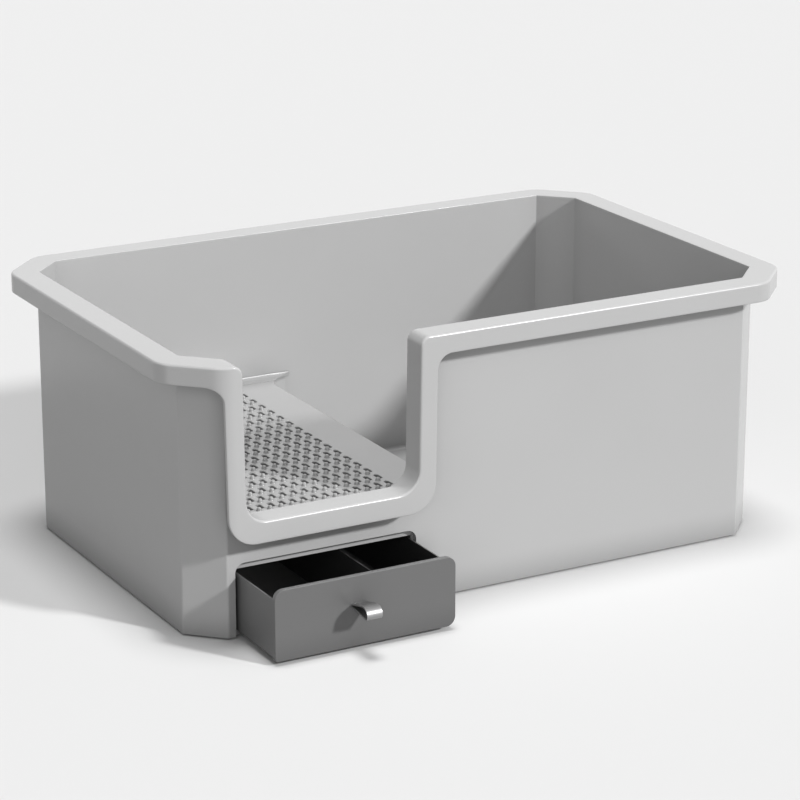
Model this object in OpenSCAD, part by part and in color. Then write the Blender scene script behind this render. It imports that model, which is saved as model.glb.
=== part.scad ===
// Drawer litter box: an open tub with a splash rim and a low entry, a perforated
// lift-out step behind the entry, and a shallow pull-out tray under the step that
// catches the litter that falls through. Millimetres, +Z up. The origin is on the
// ground, under the centre of the rim's length and width. The entry side faces -Y.

/* [Tub] */
// Overall length over the rim
rim_l = 640; // [600:1:700]
// Overall width over the rim
rim_w = 414; // [390:1:460]
// Height of the tub and rim above the wall's lower edge
tub_h = 253; // [235:1:290]
// Thickness of the tub's walls
wall = 2.5; // [2:0.1:3.2]
// Thickness of the floor
floor_t = 3; // [2.5:0.1:4]
// Height of the floor's underside above the wall's lower edge
floor_lift = 1.5; // [1:0.1:2.5]
// Width of the ring that the walls stand on
base_ring = 12; // [8:0.5:18]
// Leg of each 45 degree corner cut of the wall
wall_cut = 30; // [24:0.5:40]
// Rounding of the wall's upright corners
wall_r = 3.5; // [2:0.5:12]

/* [Rim] */
// How far the rim stands out past the wall
rim_out = 23; // [18:0.5:28]
// Height of the rim's outer skirt
skirt_h = 18.3; // [14:0.1:24]
// Thickness of the rim moulding
rim_t = 3; // [2:0.1:3.5]
// Leg of each 45 degree corner cut of the rim
rim_cut = 42; // [36:0.5:50]
// Rounding of the rim's upright corners
rim_r = 26; // [6:0.5:30]
// Height of the seating rib under the rim, outside the wall
seat_rib_h = 8; // [5:0.5:12]
// Thickness of the seating rib
seat_rib_t = 1.6; // [1.2:0.1:2.5]

/* [Entry] */
// Distance from the rim's left end to the entry's left side, at the lip
entry_x = 62; // [60:0.5:80]
// Width of the entry at the lip
entry_w = 167.5; // [140:0.5:190]
// Lean of each side of the entry over its height
entry_flare = 2; // [0:0.5:6]
// Height of the entry lip above the wall's lower edge
lip_h = 111.5; // [108:0.5:130]
// Rounding of the entry's lower corners
entry_r = 20; // [12:0.5:30]
// Rounding where the entry's sides meet the top of the rim
entry_top_r = 9; // [6:0.5:14]
// Width of the band beside the entry
band_w = 16.8; // [12:0.1:18]
// Rounding of the band's outer lower corners
band_r = 26; // [20:0.5:34]
// Fillet between the band and the rim's skirt
band_fillet = 15; // [8:0.5:20]

/* [Step] */
// Distance from the rim's left end to the step's right edge
step_x = 272.5; // [262:0.5:300]
// Height of the step's top face above the wall's lower edge
step_h = 103; // [98:0.5:106]
// Thickness of the step plate
step_t = 3; // [2.5:0.1:4]
// Radius of the flare where the step's right side meets the walls
step_flare = 25; // [15:1:30]
// Width of the ledge that the step plate rests on
ledge_w = 5; // [4:0.5:8]
// Thickness of the ledge
ledge_t = 3; // [2:0.1:4]
// Clearance between the step plate and the tub's walls
plate_gap = 0.4; // [0.3:0.1:1]
// Height of the locating rib under the step plate
step_rib_h = 6; // [4:0.5:8]
// Thickness of the locating rib
step_rib_t = 2.5; // [1.5:0.1:3.5]
// Number of slots along the length
slot_cols = 16; // [10:1:16]
// Number of slots along the width
slot_rows = 16; // [8:1:16]
// Spacing of the slots along the length
slot_dx = 10.7; // [9:0.1:11]
// Spacing of the slots along the width
slot_dy = 19.5; // [19:0.1:20.5]
// Width of each slot
slot_w = 4.6; // [3:0.1:5.2]
// Length of each slot, over its round ends
slot_l = 11.5; // [8:0.5:12]
// Shift of the slots towards the back
slot_shift = -3.3; // [-8:0.1:8]
// Radius of each raised nub between the slots
nub_r = 2.8; // [2:0.1:3.5]
// Radius of the flat on top of each nub
nub_top_r = 1.5; // [0.8:0.1:1.8]
// Height of each nub
nub_h = 3.1; // [1:0.1:4]
// Offset of each nub to the left of its slot
nub_left = 5.4; // [0:0.1:6]
// Height of the lip along the step's back edge
back_lip_h = 4; // [1:0.1:5]
// Width of the lip along the step's back edge
back_lip_w = 4; // [2:0.1:5]

/* [Drawer] */
// Distance from the rim's left end to the drawer's centre line
drawer_x = 149.9; // [146:0.1:154]
// Width of the opening in the front wall
mouth_w = 179; // [150:0.5:184]
// Height of the opening above the wall's lower edge
mouth_h = 67.8; // [66:0.1:76]
// Rounding of the opening's upper corners
mouth_r = 9; // [6:0.5:12]
// Depth of the recess that the drawer's front closes into
recess = 5.5; // [5.2:0.1:8]
// Height that the stop frame hides below the opening's top
stop_drop = 6.5; // [5:0.5:8]
// Thickness of the stop frame
stop_t = 2.5; // [2:0.1:4]
// Gap between the opening and the edge of the drawer's front
front_gap = 1.5; // [0.8:0.1:2.5]
// Gap under the drawer's front, above the wall's lower edge
front_lift = 2.5; // [1:0.1:4]
// Thickness of the drawer's front
front_t = 5; // [4:0.1:5]
// Rounding of the drawer front's corners, other than the lower left one
front_r = 9; // [4:0.5:12]
// Rounding of the drawer front's lower left corner
front_low_r = 3; // [1:0.5:12]
// Thickness of the tray's walls and floor
tray_t = 1.8; // [1.5:0.1:2.5]
// Distance from the tray's sides to the sides of the opening
side_gap = 2.5; // [2:0.1:4]
// Clearance between the tray and what it passes
tray_gap = 0.5; // [0.4:0.1:1]
// Height of the tray's walls above the wall's lower edge
tray_top = 58; // [45:0.5:59]
// Length of the tray, behind the front
tray_l = 336; // [290:1:345]
// How far the drawer stands open at rest
drawer_open = 73; // [0:1:150]
// Distance from the tray's left side to the middle of its divider
divider_x = 105.6; // [60:0.5:125]
// Thickness of the divider
divider_t = 1.6; // [1.2:0.1:2.5]
// Height of the divider's top under the top of the tray
divider_drop = 0.5; // [0:0.1:10]
// Height of the guide rails beside the tray
rail_h = 24; // [15:1:40]
// Thickness of the guide rails
rail_t = 2.2; // [1.5:0.1:3]
// Width of each guide rail's foot
rail_foot = 12; // [10:0.5:20]
// Length of the guide rails
rail_l = 290; // [240:1:300]
// Distance from the stop frame to the rails
rail_start = 8; // [4:0.5:20]
// Distance from each end of a rail to its screw
rail_screw_in = 30; // [15:1:60]
// Distance from the tray's sides to the screws of the drawer's front
front_screw_in = 22; // [15:0.5:35]
// Height of the lower screws above the lower edge of the drawer's front
front_screw_low = 16; // [12:0.5:22]
// Depth of the upper screws below the upper edge of the drawer's front
front_screw_high = 18; // [14:0.5:24]
// How far the screws reach into the drawer's front
screw_bite = 3.2; // [2:0.1:3.6]

/* [Pull tab] */
// Offset of the tab from the drawer's centre line
tab_x = -7.2; // [-40:0.1:40]
// Width of the strip
tab_w = 15; // [10:0.5:25]
// Thickness of the strip
tab_t = 1.5; // [1:0.1:2]
// Height of the top of the strip's root above the wall's lower edge
tab_z = 42; // [36:0.1:46]
// Length of the strip from the drawer's front to its tip
tab_reach = 28.3; // [24:0.1:34]
// Rise of the strip from its root to the top of its curl
tab_rise = 4.6; // [2:0.1:7]
// Height of the curl
tab_curl = 11.2; // [11:0.1:14]
// Rounding over the top of the curl
tab_top_r = 7.3; // [5:0.1:7.5]
// Rounding where the strip levels out into its curl
tab_knee_r = 12; // [6:0.5:16]
// Length of the level part of the strip before its curl
tab_level = 4; // [3:0.5:6]
// Rounding under the curl
tab_low_r = 3.2; // [2.5:0.1:3.5]
// Distance from the tip to the bend of the leg that returns under the curl
tab_leg = 19; // [8:0.5:21]
// Height of the foot behind the drawer's front
tab_foot = 18; // [12:0.5:22]
// Radius of the rivets
rivet_r = 1.6; // [1.2:0.1:2]

/* [Foot pads and screws] */
// How far the foot pads stand out below the wall
pad_proud = 1.5; // [1:0.1:3]
// Radius of each foot pad
pad_r = 12; // [8:0.5:16]
// Distance from the wall's outer face to each pad's centre
pad_inset = 48; // [40:1:60]
// Radius of the screws' shanks
screw_r = 1.5; // [1.2:0.1:1.8]
// Radius of the screws' heads
head_r = 3; // [2.6:0.1:3.5]
// Height of the screws' heads
head_h = 1.4; // [1:0.1:2]
// Thickness left under the blind holes for screws and rivets
hole_skin = 0.8; // [0.5:0.1:1.2]

/* [Hidden] */
$fn = 48;
arc_n = 6;
eps = 0.5;
fit = 0.3;
snug = 0.1;

// Levels
base_z = pad_proud;
rim_top = base_z + tub_h;
wall_top = rim_top - rim_t;
floor_z = base_z + floor_lift + floor_t;
lip_z = base_z + lip_h;
step_top = base_z + step_h;
step_low = step_top - step_t;

// Plan of the tub
wall_l = rim_l - 2 * rim_out;
wall_w = rim_w - 2 * rim_out;
front_y = -wall_w / 2;
rim_y = -rim_w / 2;
front_zone = rim_cut + rim_out;

// Entry, seen from the front
entry_l = entry_x - rim_l / 2;
entry_rt = entry_l + entry_w;
side_rise = tub_h - lip_h;

// Drawer, seen from the front
drawer_c = drawer_x - rim_l / 2;
front_w = mouth_w - 2 * front_gap;
front_low = base_z + front_lift;
front_top = base_z + mouth_h - front_gap / 2;
stop_y = front_y + recess;
stop_top = base_z + mouth_h - stop_drop;
tray_w = mouth_w - 2 * side_gap;
tray_z = floor_z + fit;
tray_high = base_z + tray_top;
closed_y = stop_y - fit;
panel_y = closed_y - drawer_open;
tray_y = panel_y;
divider_c = drawer_c - tray_w / 2 + divider_x;
divider_high = tray_high - divider_drop;
guide_w = 2 * divider_t;

// Front fixings of the drawer
screw_x = tray_w / 2 - front_screw_in;
screw_z = [front_low + front_screw_low, front_top - front_screw_high];

// Pull tab
tab_c = drawer_c + tab_x;
tab_root = base_z + tab_z;
face_y = panel_y - front_t;
tip_y = face_y - tab_reach;
curl_top = tab_root + tab_rise;
curl_low = curl_top - tab_curl;
foot_pocket = tab_t + snug;
leg_end = tab_root - 2 * tab_t - fit;
leg_bend = curl_low + 0.75 * (leg_end - curl_low);
rivet_end = face_y + hole_skin;
rivet_z = [tab_root - tab_foot * 0.4, tab_root - tab_foot * 0.8];

// Rails
rail_y = stop_y + stop_t + rail_start;
rail_screw_y = [rail_y + rail_screw_in, rail_y + rail_l - rail_screw_in];
rail_mid = tray_w / 2 + tray_gap + rail_t + (rail_foot - rail_t) / 2;
rail_hole = floor_t - hole_skin;

function unit(v) = v / norm(v);

// Points of a closed outline whose corners [x, y, r] are rounded by r
function rounded(c) = [
    for (i = [0:len(c) - 1])
        let (p = c[(i + len(c) - 1) % len(c)], q = c[i], s = c[(i + 1) % len(c)])
        for (t = corner([p.x, p.y], [q.x, q.y], [s.x, s.y], q[2])) t
];

function corner(p, q, s, r) =
    r <= 0 ? [q] :
    let (
        u = unit(p - q),
        w = unit(s - q),
        half = acos(max(-1, min(1, u * w))) / 2,
        o = q + unit(u + w) * r / sin(half),
        a = q + u * r / tan(half) - o,
        turn = (180 - 2 * half) * (u.x * w.y - u.y * w.x > 0 ? -1 : 1),
        a0 = atan2(a.y, a.x)
    )
    [for (i = [0:arc_n]) o + r * [cos(a0 + turn * i / arc_n), sin(a0 + turn * i / arc_n)]];

// Rounded octagon: a rectangle with 45 degree cut corners, moved in by g all round
module octagon(l, w, cut, r, g = 0) {
    x = l / 2 - g;
    y = w / 2 - g;
    k = cut - g * (2 - sqrt(2));
    e = max(r - g, 1);
    polygon(rounded([[x, k - y, e], [x, y - k, e], [x - k, y, e], [k - x, y, e],
                     [-x, y - k, e], [-x, k - y, e], [k - x, -y, e], [x - k, -y, e]]));
}

module rim_plan(g = 0) {
    octagon(rim_l, rim_w, rim_cut, rim_r, g);
}

module wall_plan(g = 0) {
    octagon(wall_l, wall_w, wall_cut, wall_r, g);
}

module slab(z0, z1) {
    translate([0, 0, z0]) linear_extrude(z1 - z0) children();
}

// Extrudes a front view, drawn in X and Z, from y0 back to y1
module depth(y0, y1) {
    translate([0, y1, 0]) rotate([90, 0, 0]) linear_extrude(y1 - y0) children();
}

// The entry seen from the front, grown by g on its sides and lip, and g lower at the rim
module entry_view(g = 0) {
    l = entry_l - g;
    r = entry_rt + g;
    top = rim_top - g;
    er = entry_r + g;
    tr = max(entry_top_r - g, 1);
    polygon(rounded([[l, lip_z - g, er], [r, lip_z - g, er],
                     [r + entry_flare, top, tr], [r + entry_flare + rim_cut, top, 0],
                     [r + entry_flare + rim_cut, rim_top + 2 * skirt_h, 0],
                     [l - entry_flare - rim_cut, rim_top + 2 * skirt_h, 0],
                     [l - entry_flare - rim_cut, top, 0], [l - entry_flare, top, tr]]));
}

// The rim's skirt and the band round the entry, seen from the front
module band_view() {
    l = entry_l - band_w;
    r = entry_rt + band_w;
    low = lip_z - skirt_h - rim_t / 2;
    skirt = rim_top - skirt_h;
    far = rim_l / 2 + eps;
    polygon(rounded([[l, low, band_r], [r, low, band_r],
                     [r + entry_flare, skirt, band_fillet], [far, skirt, 0],
                     [far, rim_top + eps, 0], [-far, rim_top + eps, 0],
                     [-far, skirt, 0], [l - entry_flare, skirt, band_fillet]]));
}

module splash_rim() {
    color("gainsboro") {
        difference() {
            union() {
                slab(rim_top - skirt_h, rim_top) rim_plan();
                intersection() {
                    slab(base_z, rim_top) rim_plan();
                    depth(rim_y - eps, rim_y + front_zone) band_view();
                }
            }
            slab(base_z - eps, rim_top + eps) wall_plan(wall);
            depth(rim_y - eps, rim_y + front_zone) entry_view();
            difference() {
                slab(base_z - eps, wall_top) rim_plan(rim_t);
                depth(rim_y - eps, rim_y + front_zone) entry_view(rim_t);
            }
        }
        difference() {
            slab(wall_top - seat_rib_h, wall_top) wall_plan(-fit - seat_rib_t);
            slab(wall_top - seat_rib_h - eps, wall_top + eps) wall_plan(-fit);
            depth(rim_y - eps, rim_y + front_zone) entry_view(rim_t);
        }
    }
}

// Plan of the step: left of step_x, flared where it meets the front and back walls
module step_plan(g = 0) {
    x = step_x - rim_l / 2;
    y = wall_w / 2 - wall;
    difference() {
        translate([-rim_l / 2, -y]) square([rim_l / 2 + x + step_flare, 2 * y]);
        translate([x - g, step_flare - y]) square([step_flare + g + eps, 2 * (y - step_flare)]);
        for (s = [-1, 1])
            translate([x + step_flare, s * (y - step_flare)]) circle(step_flare + g, $fn = 96);
    }
}

// The drawer's opening seen from the front, w wide
module mouth_view(w, low, top, r) {
    polygon(rounded([[drawer_c - w / 2, low, 0], [drawer_c + w / 2, low, 0],
                     [drawer_c + w / 2, top, r], [drawer_c - w / 2, top, r]]));
}

module tub() {
    mouth_top = base_z + mouth_h;
    color("lightgray") difference() {
        union() {
            difference() {
                slab(base_z, wall_top) wall_plan();
                slab(floor_z, wall_top + eps) wall_plan(wall);
                slab(base_z - eps, base_z + floor_lift) wall_plan(base_ring);
            }
            // Wall between the litter and the drawer's bay, which carries the step plate
            slab(floor_z - eps, step_low) intersection() {
                wall_plan(wall / 2);
                difference() {
                    step_plan();
                    step_plan(wall);
                }
            }
            // Ledge for the step plate round the other three sides
            slab(step_low - ledge_t, step_low) intersection() {
                step_plan(wall / 2);
                difference() {
                    wall_plan(wall / 2);
                    wall_plan(wall + ledge_w);
                }
            }
            // Collar of the drawer's opening
            depth(front_y + wall / 2, stop_y + stop_t)
                mouth_view(mouth_w + 2 * stop_t, base_z, mouth_top + stop_t, mouth_r + stop_t);
        }
        depth(rim_y, front_y + front_zone - rim_out) entry_view(rim_t + snug);
        depth(front_y - eps, stop_y) mouth_view(mouth_w, base_z - eps, mouth_top, mouth_r);
        translate([drawer_c - tray_w / 2 - tray_gap, stop_y - eps, floor_z])
            cube([tray_w + 2 * tray_gap, stop_t + 2 * eps, stop_top - floor_z]);
        slab(base_z - eps, base_z + floor_lift)
            translate([drawer_c - mouth_w / 2, front_y - eps]) square([mouth_w, base_ring]);
        for (s = [-1, 1], y = rail_screw_y)
            translate([drawer_c + s * rail_mid, y, floor_z - rail_hole])
                cylinder(h = rail_hole + eps, r = screw_r + snug);
    }
}

// Repeats a child over the slots' grid
module over_slots() {
    x0 = drawer_c - slot_dx * (slot_cols - 1) / 2;
    y0 = slot_shift - slot_dy * (slot_rows - 1) / 2;
    for (i = [0:slot_cols - 1], j = [0:slot_rows - 1])
        translate([x0 + i * slot_dx, y0 + j * slot_dy]) children();
}

// Slot with round ends, long along Y
module slot() {
    k = (slot_l - slot_w) / 2;
    translate([-slot_w / 2, -k]) square([slot_w, 2 * k]);
    for (s = [-1, 1])
        translate([0, s * k]) circle(slot_w / 2);
}

// Plan of the step plate, g inside the walls that it lies between
module plate_plan(g) {
    intersection() {
        wall_plan(wall + g);
        step_plan();
    }
}

module step_plate() {
    rib_in = ledge_w + fit;
    color("lightgray") {
        slab(step_low, step_top) difference() {
            plate_plan(plate_gap);
            over_slots() slot();
        }
        over_slots() translate([-nub_left, -slot_dy / 2, step_top])
            cylinder(h = nub_h, r1 = nub_r, r2 = nub_top_r);
        // Lip along the back wall
        slab(step_top, step_top + back_lip_h) intersection() {
            plate_plan(plate_gap);
            translate([-rim_l / 2, wall_w / 2 - wall - back_lip_w])
                square([rim_l, back_lip_w]);
        }
        // Rib under the plate, which locates it inside the ledge and the bay's wall
        slab(step_low - step_rib_h, step_low) intersection() {
            step_plan(wall + fit);
            difference() {
                wall_plan(wall + rib_in);
                wall_plan(wall + rib_in + step_rib_t);
            }
        }
    }
}

module drawer_tray() {
    color("dimgray") difference() {
        translate([drawer_c - tray_w / 2, tray_y, tray_z])
            cube([tray_w, tray_l, tray_high - tray_z]);
        translate([drawer_c - tray_w / 2 + tray_t, tray_y + tray_t, tray_z + tray_t])
            cube([tray_w - 2 * tray_t, tray_l - 2 * tray_t, tray_high]);
        front_holes(screw_r + snug, tray_y - eps, tray_y + tray_t + eps);
    }
    color("dimgray") divider_guides();
}

// Pairs of ribs that hold the divider's two ends
module divider_guides() {
    for (y = [tray_y + tray_t, tray_y + tray_l - tray_t - guide_w], s = [-1, 1])
        translate([divider_c + s * (divider_t / 2 + snug) - (s < 0 ? divider_t : 0), y, tray_z + tray_t])
            cube([divider_t, guide_w, divider_high - tray_z - tray_t]);
}

module front_holes(r, y0, y1) {
    for (s = [-1, 1], z = screw_z)
        translate([drawer_c + s * screw_x, y1, z]) rotate([90, 0, 0]) cylinder(h = y1 - y0, r = r);
}

module drawer_front() {
    x = front_w / 2;
    color("dimgray") difference() {
        depth(face_y, panel_y) polygon(rounded([
            [drawer_c - x, front_low, front_low_r], [drawer_c + x, front_low, front_r],
            [drawer_c + x, front_top, front_r], [drawer_c - x, front_top, front_r]]));
        front_holes(screw_r + snug, panel_y - screw_bite - snug, panel_y + eps);
        translate([tab_c - tab_w / 2 - snug, face_y - eps, tab_root - tab_t - snug])
            cube([tab_w + 2 * snug, front_t + 2 * eps, tab_t + 2 * snug]);
        translate([tab_c - tab_w / 2 - snug, panel_y - foot_pocket, tab_root - tab_foot - snug])
            cube([tab_w + 2 * snug, foot_pocket + eps, tab_foot + 2 * snug]);
        rivet_bodies(rivet_end, rivet_r + snug);
    }
}

module drawer_divider() {
    color("gray") translate([divider_c - divider_t / 2, tray_y + tray_t + snug, tray_z + tray_t])
        cube([divider_t, tray_l - 2 * tray_t - 2 * snug, divider_high - tray_z - tray_t]);
}

// Side view of the strip, in Y and Z: foot, lead out through the front, curl, and the leg
// that returns under the curl to rest against the front
module tab_side() {
    back = panel_y - snug;
    knee = tip_y + tab_top_r + tab_level;
    bend = tip_y + tab_leg;
    polygon(rounded([
        [back, tab_root - tab_foot, 0], [back, tab_root, 0], [face_y, tab_root, 0],
        [knee, curl_top, tab_knee_r], [tip_y, curl_top, tab_top_r], [tip_y, curl_low, tab_low_r],
        [bend, leg_bend, 0], [face_y - snug, leg_end, 0], [face_y - snug, leg_end + tab_t, 0],
        [bend, leg_bend + tab_t, 0],
        [tip_y + tab_t, curl_low + tab_t, tab_low_r - tab_t],
        [tip_y + tab_t, curl_top - tab_t, tab_top_r - tab_t], [knee, curl_top - tab_t, tab_knee_r],
        [face_y, tab_root - tab_t, 0], [back - tab_t, tab_root - tab_t, 0],
        [back - tab_t, tab_root - tab_foot, 0]]));
}

module pull_tab() {
    color("silver") difference() {
        translate([tab_c - tab_w / 2, 0, 0]) rotate([90, 0, 90]) linear_extrude(tab_w) tab_side();
        rivet_bodies(face_y, rivet_r + snug);
    }
}

module rivet_bodies(y0, r) {
    for (z = rivet_z)
        translate([tab_c, panel_y - snug, z]) rotate([90, 0, 0])
            cylinder(h = panel_y - snug - y0, r = r);
}

module tab_rivets() {
    color("silver") rivet_bodies(rivet_end, rivet_r);
}

module front_screws() {
    back = tray_y + tray_t;
    color("silver") {
        front_holes(screw_r, panel_y - screw_bite, back);
        front_holes(head_r, back, back + head_h);
    }
}

// L-shaped strip beside the tray, its foot turned away from it
module guide_rail(s) {
    x = drawer_c + s * (tray_w / 2 + tray_gap);
    color("gainsboro") difference() {
        union() {
            translate([s > 0 ? x : x - rail_t, rail_y, floor_z]) cube([rail_t, rail_l, rail_h]);
            translate([s > 0 ? x : x - rail_foot, rail_y, floor_z])
                cube([rail_foot, rail_l, rail_t]);
        }
        for (y = rail_screw_y)
            translate([drawer_c + s * rail_mid, y, floor_z - eps])
                cylinder(h = rail_t + 2 * eps, r = screw_r + snug);
    }
}

module guide_rail_left() {
    guide_rail(-1);
}

module guide_rail_right() {
    guide_rail(1);
}

module rail_screws() {
    color("silver") for (s = [-1, 1], y = rail_screw_y)
        translate([drawer_c + s * rail_mid, y, floor_z - rail_hole + snug]) {
            cylinder(h = rail_hole - snug + rail_t, r = screw_r);
            translate([0, 0, rail_hole - snug + rail_t]) cylinder(h = head_h, r = head_r);
        }
}

// Foot pad at a corner of the floor, or in its middle with sx and sy 0
module foot_pad(sx, sy) {
    color("darkslategray")
        translate([sx * (wall_l / 2 - pad_inset), sy * (wall_w / 2 - pad_inset), 0])
            cylinder(h = pad_proud + floor_lift, r = pad_r);
}

tub();
splash_rim();
step_plate();
drawer_tray();
drawer_front();
drawer_divider();
pull_tab();
tab_rivets();
front_screws();
guide_rail_left();
guide_rail_right();
rail_screws();
foot_pad(-1, -1);  // foot_pad_front_left
foot_pad(1, -1);  // foot_pad_front_right
foot_pad(-1, 1);  // foot_pad_back_left
foot_pad(1, 1);  // foot_pad_back_right
foot_pad(0, 0);  // foot_pad_middle
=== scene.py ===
"""Dresses the drawer litter box: plastic mouldings, a perforated step and a pull-out drawer.

Sizes in the dataclasses are millimetres in the model's own frame: +Z up, the entry faces -Y and
the origin is on the ground under the middle of the rim. Meshes are made in metres.
"""

import logging
import math
from dataclasses import dataclass, field
from enum import Enum
from typing import Dict, Iterable, List, Optional, Sequence, Tuple, Union

import bmesh
import bpy
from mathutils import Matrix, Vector
from mathutils.geometry import tessellate_polygon


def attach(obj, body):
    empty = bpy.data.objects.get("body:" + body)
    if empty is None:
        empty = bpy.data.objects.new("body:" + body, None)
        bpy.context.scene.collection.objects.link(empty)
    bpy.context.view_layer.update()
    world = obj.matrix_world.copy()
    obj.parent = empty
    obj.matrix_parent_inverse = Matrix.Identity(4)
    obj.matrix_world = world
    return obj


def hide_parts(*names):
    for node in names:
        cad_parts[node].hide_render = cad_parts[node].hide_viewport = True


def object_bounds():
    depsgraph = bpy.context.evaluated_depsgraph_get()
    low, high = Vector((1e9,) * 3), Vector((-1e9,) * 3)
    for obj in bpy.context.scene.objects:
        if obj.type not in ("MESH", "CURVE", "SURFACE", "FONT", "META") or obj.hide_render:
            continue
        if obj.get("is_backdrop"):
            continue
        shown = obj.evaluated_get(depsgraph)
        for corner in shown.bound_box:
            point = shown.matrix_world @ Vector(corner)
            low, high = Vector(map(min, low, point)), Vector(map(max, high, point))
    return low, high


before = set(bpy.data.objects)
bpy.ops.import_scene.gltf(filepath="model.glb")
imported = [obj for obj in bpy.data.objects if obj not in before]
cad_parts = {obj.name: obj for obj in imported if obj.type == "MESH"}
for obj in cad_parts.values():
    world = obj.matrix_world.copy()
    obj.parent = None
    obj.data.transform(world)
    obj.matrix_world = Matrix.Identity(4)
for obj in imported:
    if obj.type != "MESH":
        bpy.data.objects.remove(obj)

CAD_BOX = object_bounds()
LOG = logging.getLogger("litter_box")

MM = 0.001
MERGE = 1e-7  # metres within which points of a mesh are joined
TINY = 1e-9  # millimetres that count as nothing
SAME_SPOT = 1e-6  # millimetres within which two points lie on one spot
CRISP = 38.0  # degrees of turn above which an edge stays crisp
CRISP_ROUNDED = 50.0  # the same for pieces whose roundings have few facets
MIDWAY = 0.3  # share of a rounding's radius by which its middle lies in from both faces

Point2 = Tuple[float, float]
Point3 = Tuple[float, float, float]
Corner = Tuple[float, float, float]  # x, y and radius
EdgePoint = Tuple[Point2, Point2]  # a point and a direction at it


class Slot(Enum):
    """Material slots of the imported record."""

    LIGHT_PLASTIC = "light_grey_plastic"
    DARK_PLASTIC = "dark_grey_plastic"
    WHITE_PLASTIC = "white_plastic"
    STEEL = "satin_steel"
    RUBBER = "grey_rubber"


class Body(Enum):
    """Moving bodies of the litter box."""

    TUB = "tub_body"
    DRAWER = "drawer"
    STEP = "step"


Fitting = Tuple[bpy.types.Object, Slot, Sequence[str]]  # a piece, its slot and its nodes


# ---------------------------------------------------------------- outlines


def corner_arc(
    before: Corner, corner: Corner, after: Corner, steps: int
) -> Tuple[List[EdgePoint], int]:
    """Rounds one corner of an outline.

    Args:
        before: The corner before it.
        corner: The corner itself.
        after: The corner after it.
        steps: Pieces that the rounding is cut into.

    Returns:
        The rounding's points, each with the direction out from its centre, and the side that
        the outline turns to: 1 for the left, -1 for the right.
    """
    x, y, radius = corner
    here = Vector((x, y))
    back = (Vector(before[:2]) - here).normalized()
    ahead = (Vector(after[:2]) - here).normalized()
    half = math.acos(max(-1.0, min(1.0, back.dot(ahead)))) / 2
    centre = here + (back + ahead).normalized() * (radius / math.sin(half))
    start = here + back * (radius / math.tan(half)) - centre
    side = -1 if back.cross(ahead) > 0 else 1
    turn = side * (math.pi - 2 * half)
    first = math.atan2(start.y, start.x)
    angles = [first + turn * k / steps for k in range(steps + 1)]
    outs = [(math.cos(a), math.sin(a)) for a in angles]
    return [((centre.x + radius * u, centre.y + radius * v), (u, v)) for u, v in outs], side


def rounded_outline(corners: Sequence[Corner], steps: int = 6) -> List[Point2]:
    """Rounds the corners of a closed outline.

    Args:
        corners: Corner points with the radius of each; those without a radius stay sharp.
        steps: Pieces that each rounding is cut into.

    Returns:
        The points of the rounded outline, with the same count for every rounded corner.
    """
    points: List[Point2] = []
    for i, corner in enumerate(corners):
        if corner[2] <= 0:
            points.append(corner[:2])
            continue
        arc, _ = corner_arc(corners[i - 1], corner, corners[(i + 1) % len(corners)], steps)
        points.extend(point for point, _ in arc)
    return points


def edge_with_sides(corners: Sequence[Corner], steps: int) -> List[EdgePoint]:
    """Rounds the corners of an open edge and gives the direction to its left at each point.

    Args:
        corners: Corner points with the radius of each; the ends stay sharp.
        steps: Pieces that each rounding is cut into.

    Returns:
        The points, each with the direction square to the edge on its left.
    """
    found: List[EdgePoint] = []
    last = len(corners) - 1
    for i, corner in enumerate(corners):
        if i in (0, last):
            start, end = corners[max(i - 1, 0)], corners[min(i + 1, last)]
            way = (Vector(end[:2]) - Vector(start[:2])).normalized()
            found.append((corner[:2], (-way.y, way.x)))
            continue
        arc, side = corner_arc(corners[i - 1], corner, corners[i + 1], steps)
        found.extend((point, (-side * u, -side * v)) for point, (u, v) in arc)
    return found


def cut_corner_outline(
    length: float, width: float, cut: float, radius: float, inset: float, steps: int
) -> List[Point2]:
    """Outline of a rectangle with 45 degree cut corners, moved in all round.

    Args:
        length: Length over all, along X.
        width: Width over all, along Y.
        cut: Leg of each corner cut.
        radius: Rounding of the eight corners, which shrinks to 1 mm at the least.
        inset: Distance the outline is moved inwards.
        steps: Pieces that each rounding is cut into.

    Returns:
        The closed outline, anticlockwise from the right side's front corner.
    """
    x = length / 2 - inset
    y = width / 2 - inset
    k = cut - inset * (2 - math.sqrt(2))
    r = max(radius - inset, 1.0)
    corners = [
        (x, k - y, r), (x, y - k, r), (x - k, y, r), (k - x, y, r),
        (-x, y - k, r), (-x, k - y, r), (k - x, -y, r), (x - k, -y, r),
    ]
    return rounded_outline(corners, steps)


def quarter(radius: float, steps: int) -> List[Point2]:
    """Quarter round from a face onto a top: (distance in from the face, distance below the top)."""
    angles = [math.pi / 2 * k / steps for k in range(steps + 1)]
    return [(radius - radius * math.cos(a), radius - radius * math.sin(a)) for a in angles]


def cross_shape(arm: float, half: float) -> List[Point2]:
    """Outline of an upright cross about the origin.

    Args:
        arm: Length of each arm from the middle.
        half: Half the width of an arm.

    Returns:
        Its twelve corners, anticlockwise.
    """
    corners: List[Point2] = []
    for turn in range(4):
        for x, y in ((half, -arm), (half, -half), (arm, -half)):
            for _ in range(turn):
                x, y = -y, x
            corners.append((x, y))
    return corners


# ---------------------------------------------------------------- mesh drafting


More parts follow.
